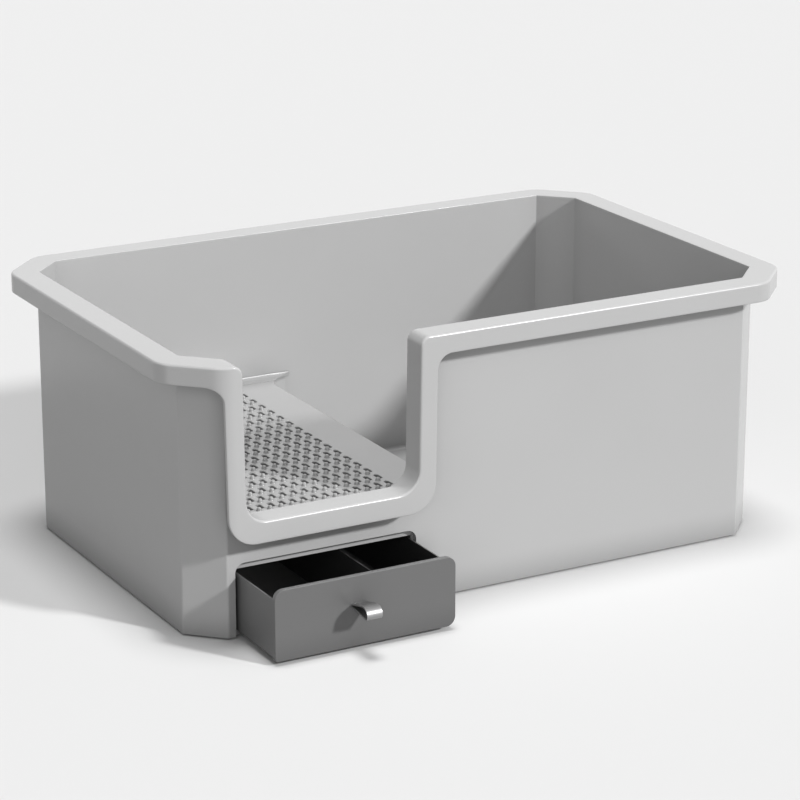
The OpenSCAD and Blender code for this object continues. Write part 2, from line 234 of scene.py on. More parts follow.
@dataclass
class Draft:
    """A mesh being drawn up in millimetres."""

    name: str
    points: List[Point3] = field(default_factory=list)
    faces: List[Tuple[int, ...]] = field(default_factory=list)

    def ring(self, points: Iterable[Point3]) -> List[int]:
        """Adds points and returns their numbers.

        Args:
            points: The points in millimetres.

        Returns:
            Their numbers, in order.
        """
        start = len(self.points)
        self.points.extend(points)
        return list(range(start, len(self.points)))

    def level(self, outline: Sequence[Point2], z: float) -> List[int]:
        """Adds an outline at height z and returns its point numbers."""
        return self.ring((x, y, z) for x, y in outline)

    def bridge(self, lower: Sequence[int], upper: Sequence[int]) -> None:
        """Joins two closed rows of points, of the same count, with four-sided faces.

        Args:
            lower: Point numbers of one row.
            upper: Point numbers of the other row.
        """
        count = len(lower)
        for i in range(count):
            j = (i + 1) % count
            self.faces.append((lower[i], lower[j], upper[j], upper[i]))

    def skin(self, rings: Sequence[Sequence[int]], looped: bool = False) -> None:
        """Joins a stack of rings in order, and the last to the first where looped.

        Args:
            rings: Point numbers of each ring, all of the same count.
            looped: Whether the last ring joins the first.
        """
        for lower, upper in zip(rings, rings[1:]):
            self.bridge(lower, upper)
        if looped:
            self.bridge(rings[-1], rings[0])

    def cap(self, ring: Sequence[int], flip: bool = False) -> None:
        """Closes a ring with one flat face."""
        self.faces.append(tuple(reversed(ring)) if flip else tuple(ring))

    def solid(self, rings: Sequence[Sequence[int]]) -> None:
        """Joins a stack of rings in order and closes both of its ends.

        Args:
            rings: Point numbers of each ring, all of the same count.
        """
        self.skin(rings)
        self.cap(rings[0], flip=True)
        self.cap(rings[-1])

    def fill(self, *loops: Sequence[int]) -> None:
        """Fills a flat ring, less the rings inside it, with triangles.

        Args:
            loops: Point numbers of the ring, and of each ring inside it.
        """
        numbers = [number for loop in loops for number in loop]
        places = [[Vector(self.points[i]) for i in loop] for loop in loops]
        for triangle in tessellate_polygon(places):
            self.faces.append(tuple(numbers[i] for i in triangle))

    def prism(self, outline: Sequence[Point3], move: Point3) -> None:
        """Adds a solid: a flat outline and its copy moved by move, joined."""
        dx, dy, dz = move
        self.solid([self.ring(outline), self.ring((x + dx, y + dy, z + dz) for x, y, z in outline)])

    def turned(
        self, profile: Sequence[Point2], centre: Point3, along: Point3 = (0, 0, 1), sides: int = 24
    ) -> None:
        """Adds a turned solid.

        Args:
            profile: (radius, distance along the axis) from one end to the other.
            centre: Start of the axis.
            along: Direction of the axis.
            sides: Number of sides.
        """
        axis = Vector(along).normalized()
        across = axis.orthogonal().normalized()
        third = axis.cross(across)
        origin = Vector(centre)
        angles = [math.tau * k / sides for k in range(sides)]
        rings = []
        for radius, distance in profile:
            at = origin + axis * distance
            rings.append(self.ring(
                tuple(at + (across * math.cos(a) + third * math.sin(a)) * radius) for a in angles))
        self.solid(rings)

    def build(self, limit: float = CRISP) -> bpy.types.Object:
        """Makes the mesh object, with outward faces.

        Args:
            limit: Edges that turn by more degrees than this stay crisp.

        Returns:
            The object, linked to the scene.
        """
        mesh = bpy.data.meshes.new(self.name)
        mesh.from_pydata([(x * MM, y * MM, z * MM) for x, y, z in self.points], [], self.faces)
        draft = bmesh.new()
        draft.from_mesh(mesh)
        bmesh.ops.remove_doubles(draft, verts=draft.verts, dist=MERGE)
        bmesh.ops.dissolve_degenerate(draft, edges=draft.edges, dist=MERGE)
        bmesh.ops.recalc_face_normals(draft, faces=draft.faces)
        draft.to_mesh(mesh)
        draft.free()
        made = bpy.data.objects.new(self.name, mesh)
        bpy.context.scene.collection.objects.link(made)
        smooth(made, limit)
        return made


def block(name: str, low: Point3, high: Point3) -> bpy.types.Object:
    """Builds a square block from its lowest corner to its highest, to work into a piece.

    Args:
        name: Name of the block.
        low: Its front left lower corner.
        high: Its back right upper corner.

    Returns:
        The block.
    """
    (x0, y0, z0), (x1, y1, z1) = low, high
    draft = Draft(name)
    draft.prism([(x0, y0, z0), (x1, y0, z0), (x1, y1, z0), (x0, y1, z0)], (0, 0, z1 - z0))
    return draft.build()


def settle(made: bpy.types.Object) -> None:
    """Puts an object's modifiers into its mesh.

    Args:
        made: The mesh object.
    """
    graph = bpy.context.evaluated_depsgraph_get()
    mesh = bpy.data.meshes.new_from_object(made.evaluated_get(graph))
    made.modifiers.clear()
    made.data = mesh


def smooth(made: bpy.types.Object, limit: float = CRISP) -> None:
    """Shades a mesh smooth over its roundings and flat on its large faces.

    Args:
        made: The mesh object.
        limit: Edges that turn by more degrees than this stay crisp.
    """
    draft = bmesh.new()
    draft.from_mesh(made.data)
    for face in draft.faces:
        face.smooth = True
    for edge in draft.edges:
        edge.smooth = edge.is_manifold and edge.calc_face_angle() < math.radians(limit)
    draft.to_mesh(made.data)
    draft.free()
    normals = made.modifiers.new("Large faces flat", "WEIGHTED_NORMAL")
    normals.mode = "FACE_AREA"
    normals.keep_sharp = True
    settle(made)


class Joining(Enum):
    """How one solid is worked into another."""

    ADD = "UNION"
    CUT = "DIFFERENCE"
    KEEP = "INTERSECT"


def work_in(made: bpy.types.Object, tool: bpy.types.Object, how: Joining) -> None:
    """Adds a solid to an object, cuts it away or keeps what both share, and removes it.

    Args:
        made: The object.
        tool: The solid.
        how: Which of the three is done.
    """
    step = made.modifiers.new(how.name.title(), "BOOLEAN")
    step.operation = how.value
    step.solver = "EXACT"
    step.object = tool
    settle(made)
    bpy.data.objects.remove(tool)


def soften_edges(made: bpy.types.Object, width: float, limit: float, segments: int) -> None:
    """Rounds an object's sharp edges.

    Args:
        made: The mesh object.
        width: Width of the rounding in millimetres.
        limit: Edges that turn by more degrees than this are rounded.
        segments: Pieces that each rounding is cut into.
    """
    bevel = made.modifiers.new("Edges", "BEVEL")
    bevel.width = width * MM
    bevel.segments = segments
    bevel.limit_method = "ANGLE"
    bevel.angle_limit = math.radians(limit)
    bevel.use_clamp_overlap = True
    settle(made)


def screw_set(
    name: str, places: Sequence[Point3], shank: float, upright: bool
) -> bpy.types.Object:
    """Builds a set of screws with low domed heads and crossed recesses.

    Args:
        name: Name of the piece.
        places: Where the underside of each head meets its shank.
        shank: Length of a shank.
        upright: Whether the heads face up, rather than to the back.

    Returns:
        The screws, as one object.
    """
    profile = [(1.5, -shank), (1.5, 0.0), (3.0, 0.0), (3.0, 0.5), (2.7, 0.95), (2.0, 1.25),
               (1.0, 1.38), (0.3, 1.4)]
    recess_low, recess_way = 0.7, 2
    cross = cross_shape(arm=1.5, half=0.35)
    draft, recesses = Draft(name), Draft("crossed recess")
    for x, y, z in places:
        if upright:
            draft.turned(profile, (x, y, z), (0, 0, 1))
            recesses.prism([(x + a, y + b, z + recess_low) for a, b in cross], (0, 0, recess_way))
        else:
            draft.turned(profile, (x, y, z), (0, 1, 0))
            recesses.prism([(x + a, y + recess_low, z - b) for a, b in cross], (0, recess_way, 0))
    made = draft.build()
    work_in(made, recesses.build(), Joining.CUT)
    smooth(made)
    return made


def place(made: bpy.types.Object, body: Body, slot: Slot, stands_for: Sequence[str]) -> None:
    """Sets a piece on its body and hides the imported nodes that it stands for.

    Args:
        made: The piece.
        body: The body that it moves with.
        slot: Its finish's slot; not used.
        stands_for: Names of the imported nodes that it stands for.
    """
    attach(made, body.value)
    if stands_for:
        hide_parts(*stands_for)
    LOG.info("%s: %d faces on %s", made.name, len(made.data.polygons), body.value)


# ---------------------------------------------------------------- finishes


def rays_seen(tree: bpy.types.NodeTree) -> bpy.types.NodeSocket:
    """One where a surface is seen or mirrored, nought where it only passes light on.

    Args:
        tree: The node tree that it is for.

    Returns:
        The value's socket.
    """
    path = tree.nodes.new("ShaderNodeLightPath")
    total = path.outputs["Is Camera Ray"]
    for ray in ("Is Glossy Ray", "Is Transmission Ray"):
        step = tree.nodes.new("ShaderNodeMath")
        step.operation = "ADD"
        step.use_clamp = True
        tree.links.new(total, step.inputs[0])
        tree.links.new(path.outputs[ray], step.inputs[1])
        total = step.outputs[0]
    return total


class NodeSheet:
    """A material's node tree with short calls for making and joining nodes."""

    NOISE_SPAN = (0.3, 0.7)  # between these lie most values of a noise
    MIX_SHARE, MIX_FIRST, MIX_SECOND, MIX_RESULT = 0, 6, 7, 2  # a Mix node's colour sockets
    # ambient occlusion samples for the painted shade in corners and under edges
    PAINTED_SHADE_SAMPLES = 8

    def __init__(self, name: str) -> None:
        """Starts an empty material called name.

        Args:
            name: Name of the material.
        """
        self.material = bpy.data.materials.new(name)
        self.material.use_nodes = True
        self.tree = self.material.node_tree
        self.tree.nodes.clear()
        self.output = self.tree.nodes.new("ShaderNodeOutputMaterial")
        self.place = self.tree.nodes.new("ShaderNodeTexCoord").outputs["Object"]

    def add(self, kind: str, **values: object) -> bpy.types.Node:
        """Adds a node and sets its sockets, given by name with _ for spaces.

        Args:
            kind: The node's type.
            values: Value of each socket that is set.

        Returns:
            The node.
        """
        node = self.tree.nodes.new(kind)
        for key, value in values.items():
            node.inputs[key.replace("_", " ")].default_value = value
        return node

    def join(self, start: bpy.types.NodeSocket, end: bpy.types.NodeSocket) -> None:
        """Joins two sockets."""
        self.tree.links.new(start, end)

    def finish(self, shader: bpy.types.Node) -> bpy.types.Material:
        """Joins the shader to the output and gives the finished material."""
        self.join(shader.outputs["BSDF"], self.output.inputs["Surface"])
        return self.material

    def maths(
        self, operation: str, *values: Union[float, bpy.types.NodeSocket]
    ) -> bpy.types.NodeSocket:
        """Works out a value.

        Args:
            operation: Name of a Math node's operation.
            values: What goes into it, in order: numbers or sockets.

        Returns:
            The value's socket.
        """
        node = self.tree.nodes.new("ShaderNodeMath")
        node.operation = operation
        for value, end in zip(values, node.inputs):
            if isinstance(value, bpy.types.NodeSocket):
                self.join(value, end)
            else:
                end.default_value = value
        return node.outputs[0]

    def noise(
        self, scale: float, detail: float, stretch: Optional[Point3] = None
    ) -> bpy.types.NodeSocket:
        """Noise in the object's own space.

        Args:
            scale: Number of features to a metre.
            detail: Number of finer layers.
            stretch: Scale along X, Y and Z before the noise, for a drawn-out grain.

        Returns:
            The noise value's socket.
        """
        node = self.add("ShaderNodeTexNoise", Scale=scale, Detail=detail)
        source = self.place
        if stretch is not None:
            mapping = self.add("ShaderNodeMapping", Scale=stretch)
            self.join(self.place, mapping.inputs["Vector"])
            source = mapping.outputs["Vector"]
        self.join(source, node.inputs["Vector"])
        return node.outputs["Fac"]

    def about(
        self, value: bpy.types.NodeSocket, middle: float, spread: float
    ) -> bpy.types.NodeSocket:
        """Turns a noise value into one that varies by spread to either side of middle.

        Args:
            value: The noise value's socket.
            middle: Middle of the new range.
            spread: Half of its width.

        Returns:
            The new value's socket.
        """
        start, end = self.NOISE_SPAN
        node = self.add("ShaderNodeMapRange", From_Min=start, From_Max=end,
                        To_Min=middle - spread, To_Max=middle + spread)
        self.join(value, node.inputs["Value"])
        return node.outputs["Result"]

    def tones(
        self, value: bpy.types.NodeSocket, tone: float, dark: Point3, light: Point3
    ) -> bpy.types.NodeSocket:
        """Turns a noise value into a colour about a grey tone.

        Args:
            value: The noise value's socket.
            tone: The tone.
            dark: Shares of it, in red, green and blue, where the noise is low.
            light: Shares of it where the noise is high.

        Returns:
            The colour's socket.
        """
        ramp = self.tree.nodes.new("ShaderNodeValToRGB")
        for stop, position, shares in zip(
                ramp.color_ramp.elements, self.NOISE_SPAN, (dark, light)):
            stop.position = position
            stop.color = (*(tone * share for share in shares), 1)
        self.join(value, ramp.inputs["Fac"])
        return ramp.outputs["Color"]

    def greys(
        self, value: bpy.types.NodeSocket, tone: float, dark: float, light: float
    ) -> bpy.types.NodeSocket:
        """Turns a noise value into a grey between two shares of a tone."""
        return self.tones(value, tone, (dark,) * 3, (light,) * 3)

    def within(self, middle: Point3, half: Point3) -> bpy.types.NodeSocket:
        """One inside a box of the object's own space and nought outside.

        Args:
            middle: Middle of the box in metres.
            half: Half its size along X, Y and Z.

        Returns:
            The value's socket.
        """
        apart = self.add("ShaderNodeSeparateXYZ")
        self.join(self.place, apart.inputs["Vector"])
        x, y, z = (
            self.maths("COMPARE", *values) for values in zip(apart.outputs, middle, half))
        return self.maths("MULTIPLY", self.maths("MULTIPLY", x, y), z)

    def mixed(
        self, share: bpy.types.NodeSocket, colour: bpy.types.NodeSocket, tone: float
    ) -> bpy.types.NodeSocket:
        """Colour that turns into a plain tone where share is one.

        Args:
            share: The share's socket, from nought to one.
            colour: The colour's socket.
            tone: The plain tone.

        Returns:
            The mixed colour's socket.
        """
        mix = self.tree.nodes.new("ShaderNodeMix")
        mix.data_type = "RGBA"
        mix.inputs[self.MIX_SECOND].default_value = (tone, tone, tone, 1)
        self.join(share, mix.inputs[self.MIX_SHARE])
        self.join(colour, mix.inputs[self.MIX_FIRST])
        return mix.outputs[self.MIX_RESULT]

    def painted_corner_shade(self, reach: float, strength: float) -> bpy.types.NodeSocket:
        """Share of painted shade: how far a spot lies in a corner or under an edge, from nought to
        strength.

        Args:
            reach: Distance in metres within which other surfaces count.
            strength: Value where a spot lies wholly in a corner, the darkest painted shade.

        Returns:
            The value's socket.
        """
        painted_shade = self.add("ShaderNodeAmbientOcclusion", Distance=reach)
        painted_shade.samples = self.PAINTED_SHADE_SAMPLES
        spread = self.add(
            "ShaderNodeMapRange", From_Min=1.0, From_Max=0.0, To_Min=0.0, To_Max=strength)
        self.join(painted_shade.outputs["AO"], spread.inputs["Value"])
        return spread.outputs["Result"]

    def bump(
        self, value: bpy.types.NodeSocket, height: float, strength: float
    ) -> bpy.types.NodeSocket:
        """Surface relief from a value, height in metres.

        Args:
            value: The value's socket.
            height: Height of the relief where the value is one.
            strength: Share of the relief that shows.

        Returns:
            The normal's socket.
        """
        node = self.add("ShaderNodeBump", Strength=strength, Distance=height)
        self.join(value, node.inputs["Height"])
        return node.outputs["Normal"]


@dataclass(frozen=True)
class PaintedShadeBox:
    """Box, in metres, whose surfaces get a darker tone painted in as shade, such as the drawer
    tray's inside.
    """

    middle: Point3
    half: Point3
    tone: float


@dataclass(frozen=True)
class MouldedPlastic:
    """Injection moulded plastic with a fine even grain from its mould, painted shade in its corners
    and under edges, and a painted shade tone inside an optional box.
    """

    name: str
    tone: float
    roughness: float
    painted_shade_box: Optional[PaintedShadeBox] = None
    ior: float = 1.5
    clouds_per_metre: float = 9.0
    variation: float = 0.01
    patches_per_metre: float = 30.0
    roughness_spread: float = 0.015
    grain_per_metre: float = 1100.0
    relief: float = 0.00001
    relief_strength: float = 0.35
    detail: float = 2.0
    reach: float = 0.03
    # strength and tone share of the painted shade in corners and under edges
    painted_shade: float = 0.6
    painted_shade_tone_share: float = 0.1

    def material(self) -> bpy.types.Material:
        """Makes the material.

        Returns:
            The material.
        """
        sheet = NodeSheet(self.name)
        plastic = sheet.add("ShaderNodeBsdfPrincipled", IOR=self.ior)
        clouds = sheet.noise(self.clouds_per_metre, self.detail)
        colour = sheet.greys(clouds, self.tone, 1 - self.variation, 1 + self.variation)
        # Painted shade: surfaces inside the box take its near-black tone.
        if self.painted_shade_box is not None:
            inside = sheet.within(self.painted_shade_box.middle, self.painted_shade_box.half)
            colour = sheet.mixed(inside, colour, self.painted_shade_box.tone)
        # Painted shade: the colour darkens towards a tenth of the tone in corners and under edges.
        painted_shade = sheet.painted_corner_shade(self.reach, self.painted_shade)
        colour = sheet.mixed(painted_shade, colour, self.tone * self.painted_shade_tone_share)
        sheet.join(colour, plastic.inputs["Base Color"])
        patches = sheet.noise(self.patches_per_metre, self.detail)
        sheet.join(sheet.about(patches, self.roughness, self.roughness_spread),
                   plastic.inputs["Roughness"])
        grain = sheet.noise(self.grain_per_metre, self.detail)
        sheet.join(sheet.bump(grain, self.relief, self.relief_strength), plastic.inputs["Normal"])
        return sheet.finish(plastic)


@dataclass(frozen=True)
class SatinSteel:
    """Stainless steel with a fine grain drawn out along X."""

    name: str
    tone: float
    roughness: float
    grain_per_metre: Point3 = (260.0, 9000.0, 9000.0)
    detail: float = 4.0
    dark: Point3 = (0.93, 0.93, 0.94)
    light: Point3 = (1.05, 1.05, 1.05)
    roughness_spread: float = 0.05
    relief: float = 0.00002
    relief_strength: float = 0.2

    def material(self) -> bpy.types.Material:
        """Makes the material.

        Returns:
            The material.
        """
        sheet = NodeSheet(self.name)
        steel = sheet.add("ShaderNodeBsdfPrincipled", Metallic=1.0)
        grain = sheet.noise(1.0, self.detail, self.grain_per_metre)
        sheet.join(sheet.tones(grain, self.tone, self.dark, self.light),
                   steel.inputs["Base Color"])
        sheet.join(sheet.about(grain, self.roughness, self.roughness_spread),
                   steel.inputs["Roughness"])
        sheet.join(sheet.bump(grain, self.relief, self.relief_strength), steel.inputs["Normal"])
        return sheet.finish(steel)


@dataclass(frozen=True)
class SoftRubber:
    """Matt rubber with a pebbled skin and a dusting of wear."""

    name: str
    tone: float
    ior: float = 1.45
    dust_per_metre: float = 160.0
    dust_detail: float = 5.0
    dark: float = 0.8
    light: float = 1.35
    roughness: float = 0.81
    roughness_spread: float = 0.09
    pebbles_per_metre: float = 1500.0
    pebble_detail: float = 3.0
    relief: float = 0.0001
    relief_strength: float = 0.5

    def material(self) -> bpy.types.Material:
        """Makes the material.

        Returns:
            The material.
        """
        sheet = NodeSheet(self.name)
        rubber = sheet.add("ShaderNodeBsdfPrincipled", IOR=self.ior)
        dust = sheet.noise(self.dust_per_metre, self.dust_detail)
        sheet.join(sheet.greys(dust, self.tone, self.dark, self.light),
                   rubber.inputs["Base Color"])
        sheet.join(sheet.about(dust, self.roughness, self.roughness_spread),
                   rubber.inputs["Roughness"])
        pebbles = sheet.noise(self.pebbles_per_metre, self.pebble_detail)
        sheet.join(sheet.bump(pebbles, self.relief, self.relief_strength),
                   rubber.inputs["Normal"])
        return sheet.finish(rubber)


@dataclass(frozen=True)
class PaleFloor:
    """Smooth matt studio floor that throws less light on the object than it shows."""

    name: str
    tone: float
    thrown: float
    roughness: float = 0.9
    ior: float = 1.3
    clouds_per_metre: float = 1.2
    detail: float = 2.0
    dark: float = 0.995

    def material(self) -> bpy.types.Material:
        """Makes the material.

        Returns:
            The material.
        """
        sheet = NodeSheet(self.name)
        floor = sheet.add("ShaderNodeBsdfPrincipled", Roughness=self.roughness, IOR=self.ior)
        clouds = sheet.noise(self.clouds_per_metre, self.detail)
        thrown = sheet.greys(clouds, self.tone * self.thrown, self.dark, 1.0)
        sheet.join(sheet.mixed(rays_seen(sheet.tree), thrown, self.tone),
                   floor.inputs["Base Color"])
        return sheet.finish(floor)


# Painted shade: the drawer tray's inside is coloured near black where it lies in shade.
TRAY_PAINTED_SHADE = PaintedShadeBox(middle=(-0.1701, -0.0838, 0.0345), half=(0.0854, 0.1664, 0.0272), tone=0.025)


@dataclass
class FinishRack:
    """The finishes of the litter box, made once and shared by its pieces."""

    light: MouldedPlastic = MouldedPlastic("Light grey plastic", 0.52, 0.22)
    dark: MouldedPlastic = MouldedPlastic("Dark grey plastic", 0.15, 0.4, TRAY_PAINTED_SHADE)
    # Painted shade: the step's copy of the light grey plastic is darker because the step lies deep
    # in the tub.
    step: MouldedPlastic = MouldedPlastic("Light grey plastic darkened as painted shade for the step", 0.41, 0.3)
    white: MouldedPlastic = MouldedPlastic("White plastic", 0.62, 0.4)
    steel: SatinSteel = SatinSteel("Satin steel", 0.31, 0.42)
    rubber: SoftRubber = SoftRubber("Grey rubber", 0.05)

    def __post_init__(self) -> None:
        """Makes the materials."""
        self.made: Dict[Slot, bpy.types.Material] = {
            Slot.LIGHT_PLASTIC: self.light.material(),
            Slot.DARK_PLASTIC: self.dark.material(),
            Slot.WHITE_PLASTIC: self.white.material(),
            Slot.STEEL: self.steel.material(),
            Slot.RUBBER: self.rubber.material(),
        }

    def fit_out(
        self, body: Body, fittings: Sequence[Fitting], own: Optional[MouldedPlastic] = None
    ) -> None:
        """Dresses pieces and sets them on a body, in order.

        Args:
            body: The body that they move with.
            fittings: The pieces, each with its slot and the nodes it stands for.
            own: Their own darker copy of the slot's finish, which paints in shade, where they have
                one.
        """
        shade = own.material() if own is not None else None
        for made, slot, nodes in fittings:
            made.data.materials.clear()
            made.data.materials.append(shade or self.made[slot])
            place(made, body, slot, nodes)


# ---------------------------------------------------------------- shared sizes


@dataclass(frozen=True)
class TubPlan:
    """Plan and levels that the tub, rim and step share."""

    rim_length: float = 640.0
    rim_width: float = 414.0
    rim_cut: float = 42.0
    rim_corner: float = 26.0
    rim_top: float = 254.5
    skirt_bottom: float = 236.2
    wall_length: float = 594.0
    wall_width: float = 368.0
    wall_cut: float = 30.0
    wall_corner: float = 3.5
    wall: float = 2.5
    wall_top: float = 251.5
    base: float = 1.5
    floor_top: float = 6.0
    floor_under: float = 3.0

    def rim(self, inset: float = 0.0, steps: int = 8) -> List[Point2]:
        """The rim's outline, moved in by inset."""
        return cut_corner_outline(
            self.rim_length, self.rim_width, self.rim_cut, self.rim_corner, inset, steps)

    def walls(self, inset: float = 0.0, steps: int = 6) -> List[Point2]:
        """The wall's outline, moved in by inset."""
        return cut_corner_outline(
            self.wall_length, self.wall_width, self.wall_cut, self.wall_corner, inset, steps)

    def hoop(self, name: str, section: Sequence[Point2]) -> bpy.types.Object:
        """Builds a strip that follows the wall all round.

        Args:
            name: Name of the strip.
            section: Its cross-section: (distance in from the wall's outer face, height).

        Returns:
            The strip.
        """
        draft = Draft(name)
        draft.skin([draft.level(self.walls(inset), z) for inset, z in section], looped=True)
        return draft.build()

    def left_of(self, x: float) -> bpy.types.Object:
        """Builds a block that holds the left part of the tub, up to x, to work into a piece."""
        return block("left part", (-self.wall_length, -self.wall_width, 0),
                     (x, self.wall_width, self.wall_top))

    @property
    def front(self) -> float:
        """Y of the front wall's outer face."""
        return -self.wall_width / 2

    @property
    def inner_back(self) -> float:
        """Y of the back wall's inner face."""
        return self.wall_width / 2 - self.wall


@dataclass(frozen=True)
class EntryOutline:
    """The entry in the front, and the band round it, seen from the front."""

    left: float = -258.0
    right: float = -90.5
    lip: float = 113.0
    flare: float = 2.0
    lower_round: float = 20.0
    top_round: float = 9.0
    band: float = 16.8
    band_low: float = 93.2
    band_round: float = 26.0
    band_fillet: float = 15.0
    far_left: float = -310.0
    far_right: float = -40.0

    def opening(self, top: float, steps: int) -> List[EdgePoint]:
        """Edge of the opening from the rim's top on the right to the rim's top on the left.

        Args:
            top: Height of the rim's top.
            steps: Pieces that each rounding is cut into.

        Returns:
            The points of the edge, in X and Z, with the direction into the band.
        """
        return edge_with_sides([
            (self.far_right, top, 0), (self.right + self.flare, top, self.top_round),
            (self.right, self.lip, self.lower_round), (self.left, self.lip, self.lower_round),
            (self.left - self.flare, top, self.top_round), (self.far_left, top, 0),
        ], steps)

    def outer(self, skirt: float, steps: int) -> List[EdgePoint]:
        """Lower edge of the skirt and the band, point for point with the opening's edge.

        Args:
            skirt: Height of the skirt's lower edge.
            steps: Pieces that each rounding is cut into.

        Returns:
            The points of the edge, in X and Z, with the direction into the band.
        """
        right = self.right + self.band
        left = self.left - self.band
        return edge_with_sides([
            (self.far_right, skirt, 0), (right + self.flare, skirt, self.band_fillet),
            (right, self.band_low, self.band_round), (left, self.band_low, self.band_round),
            (left - self.flare, skirt, self.band_fillet), (self.far_left, skirt, 0),
        ], steps)


# ---------------------------------------------------------------- rim


@dataclass
class Station:
    """One cross-section of the rim: its outer edge, lower edge and inner edge."""

    edge: Vector
    low: Vector
    back: Vector
    inward: Vector
    down: Vector


@dataclass
class SplashRim:
    """The rim that caps the wall all round and turns down as a band about the entry."""

    plan: TubPlan
    entry: EntryOutline
    thickness: float = 3.0
    edge_round: float = 2.2
    edge_steps: int = 6
    inner_round: float = 0.6
    low_round: float = 0.8
    face_rows: int = 9
    entry_steps: int = 12
    corner_steps: int = 8
    trace_steps: int = 16
    rib_inner: float = -0.3
    rib_outer: float = -1.9
    rib_bevel: float = 0.3
    rib_depth: float = 8.0
    rib_sink: float = 0.2
    rib_gap_margin: float = 5.0
    rib_gap_reach: float = 9.0

    def moulding(self) -> bpy.types.Object:
        """Builds the rim with its band.

        Returns:
            The rim.
        """
        draft = Draft("rim_with_entry_band")
        stations = self.entry_stations()
        stations.extend(self.side_stations(stations[-1]))
        rings = [draft.ring(tuple(p) for p in self.section(station)) for station in stations]
        draft.skin(rings, looped=True)
        return draft.build(CRISP_ROUNDED)

    def section(self, s: Station) -> List[Vector]:
        """Points round one cross-section, from the skirt's inner edge over the top and back.

        Args:
            s: The station.

        Returns:
            The section's points.
        """
        low, top = self.low_round, self.inner_round
        turn = s.edge + s.down * self.edge_round
        points = [s.low + s.inward * self.thickness, s.low + s.inward * low]
        points.extend(self.face_points(s.low, turn, s.inward))
        points.extend(s.edge + s.inward * across + s.down * under
                      for across, under in quarter(self.edge_round, self.edge_steps)[1:])
        points.extend([
            s.back - s.inward * top,
            s.back - s.inward * top * MIDWAY + s.down * top * MIDWAY,
            s.back + s.down * top,
            s.back + s.down * self.thickness,
            s.edge + (s.inward + s.down) * self.thickness,
        ])
        return points

    def face_points(self, low: Vector, turn: Vector, inward: Vector) -> List[Vector]:
        """Points up the outer face, which follow the cut corner where the face crosses it.

        Args:
            low: Lower edge of the face.
            turn: Where the face starts to turn over into the top.
            inward: Level direction into the moulding.

        Returns:
            The points from the rounding of the lower edge up to turn.
        """
        r = self.low_round
        upward = (turn - low).normalized()
        start = low + upward * r
        upright = (turn.xy - low.xy).length < SAME_SPOT
        points = [low + inward * r * MIDWAY + upward * r * MIDWAY]
        for k in range(self.face_rows + 1):
            at = start.lerp(turn, k / self.face_rows)
            points.append(at if upright else Vector((at.x, self.outer_y(at.x), at.z)))
        return points

    def entry_stations(self) -> List[Station]:
        """Cross-sections from the rim's top right of the entry, down, along the lip and up.

        Returns:
            The stations, in order.
        """
        edge = self.entry.opening(self.plan.rim_top, self.entry_steps)
        low = self.entry.outer(self.plan.skirt_bottom, self.entry_steps)
        made = []
        for ((x, z), (side_x, side_z)), ((low_x, low_z), _) in zip(edge[:-1], low[:-1]):
            made.append(Station(
                edge=Vector((x, self.outer_y(x), z)),
                low=Vector((low_x, self.outer_y(low_x), low_z)),
                back=Vector((x, self.inner_y(x), z)),
                inward=Vector((0, 1, 0)),
                down=Vector((side_x, 0, side_z))))
        return made

    def outer_y(self, x: float) -> float:
        """Y of the rim's front at x, which turns back along the cut corner."""
        return self.front_of(self.plan.rim(0, self.trace_steps), x)

    def inner_y(self, x: float) -> float:
        """Y of the rim's inner edge at x."""
        return self.front_of(self.plan.walls(self.plan.wall, self.trace_steps), x)

    @staticmethod
    def front_of(outline: Sequence[Point2], x: float) -> float:
        """Lowest Y of a closed outline at x.

        Args:
            outline: The outline's points.
            x: Where it is measured.

        Returns:
            The lowest Y.
        """
        found = []
        for (x0, y0), (x1, y1) in zip(outline, list(outline[1:]) + [outline[0]]):
            if min(x0, x1) <= x <= max(x0, x1) and abs(x1 - x0) > TINY:
                found.append(y0 + (y1 - y0) * (x - x0) / (x1 - x0))
        return min(found)

    def side_stations(self, last: Station) -> List[Station]:
        """Cross-sections round the left, back and right from the entry's left back to its right.

        Args:
            last: The last station of the entry, on the left.

        Returns:
            The stations between them.
        """
        plan = self.plan
        outer = plan.rim(0, self.corner_steps)
        inner = plan.walls(plan.wall, self.corner_steps)
        count = self.corner_steps + 1
        made: List[Station] = []
        for corner in (6, 5, 4, 3, 2, 1, 0, 7):  # clockwise from the entry's left
            part = slice(corner * count, (corner + 1) * count)
            for (out_x, out_y), (in_x, in_y) in zip(reversed(outer[part]), reversed(inner[part])):
                made.append(Station(
                    edge=Vector((out_x, out_y, plan.rim_top)),
                    low=Vector((out_x, out_y, plan.skirt_bottom)),
                    back=Vector((in_x, in_y, plan.rim_top)),
                    inward=self.inward_at(outer, (out_x, out_y)),
                    down=Vector((0, 0, -1))))
        return self.fitted_corner(made, last) + made[count:]

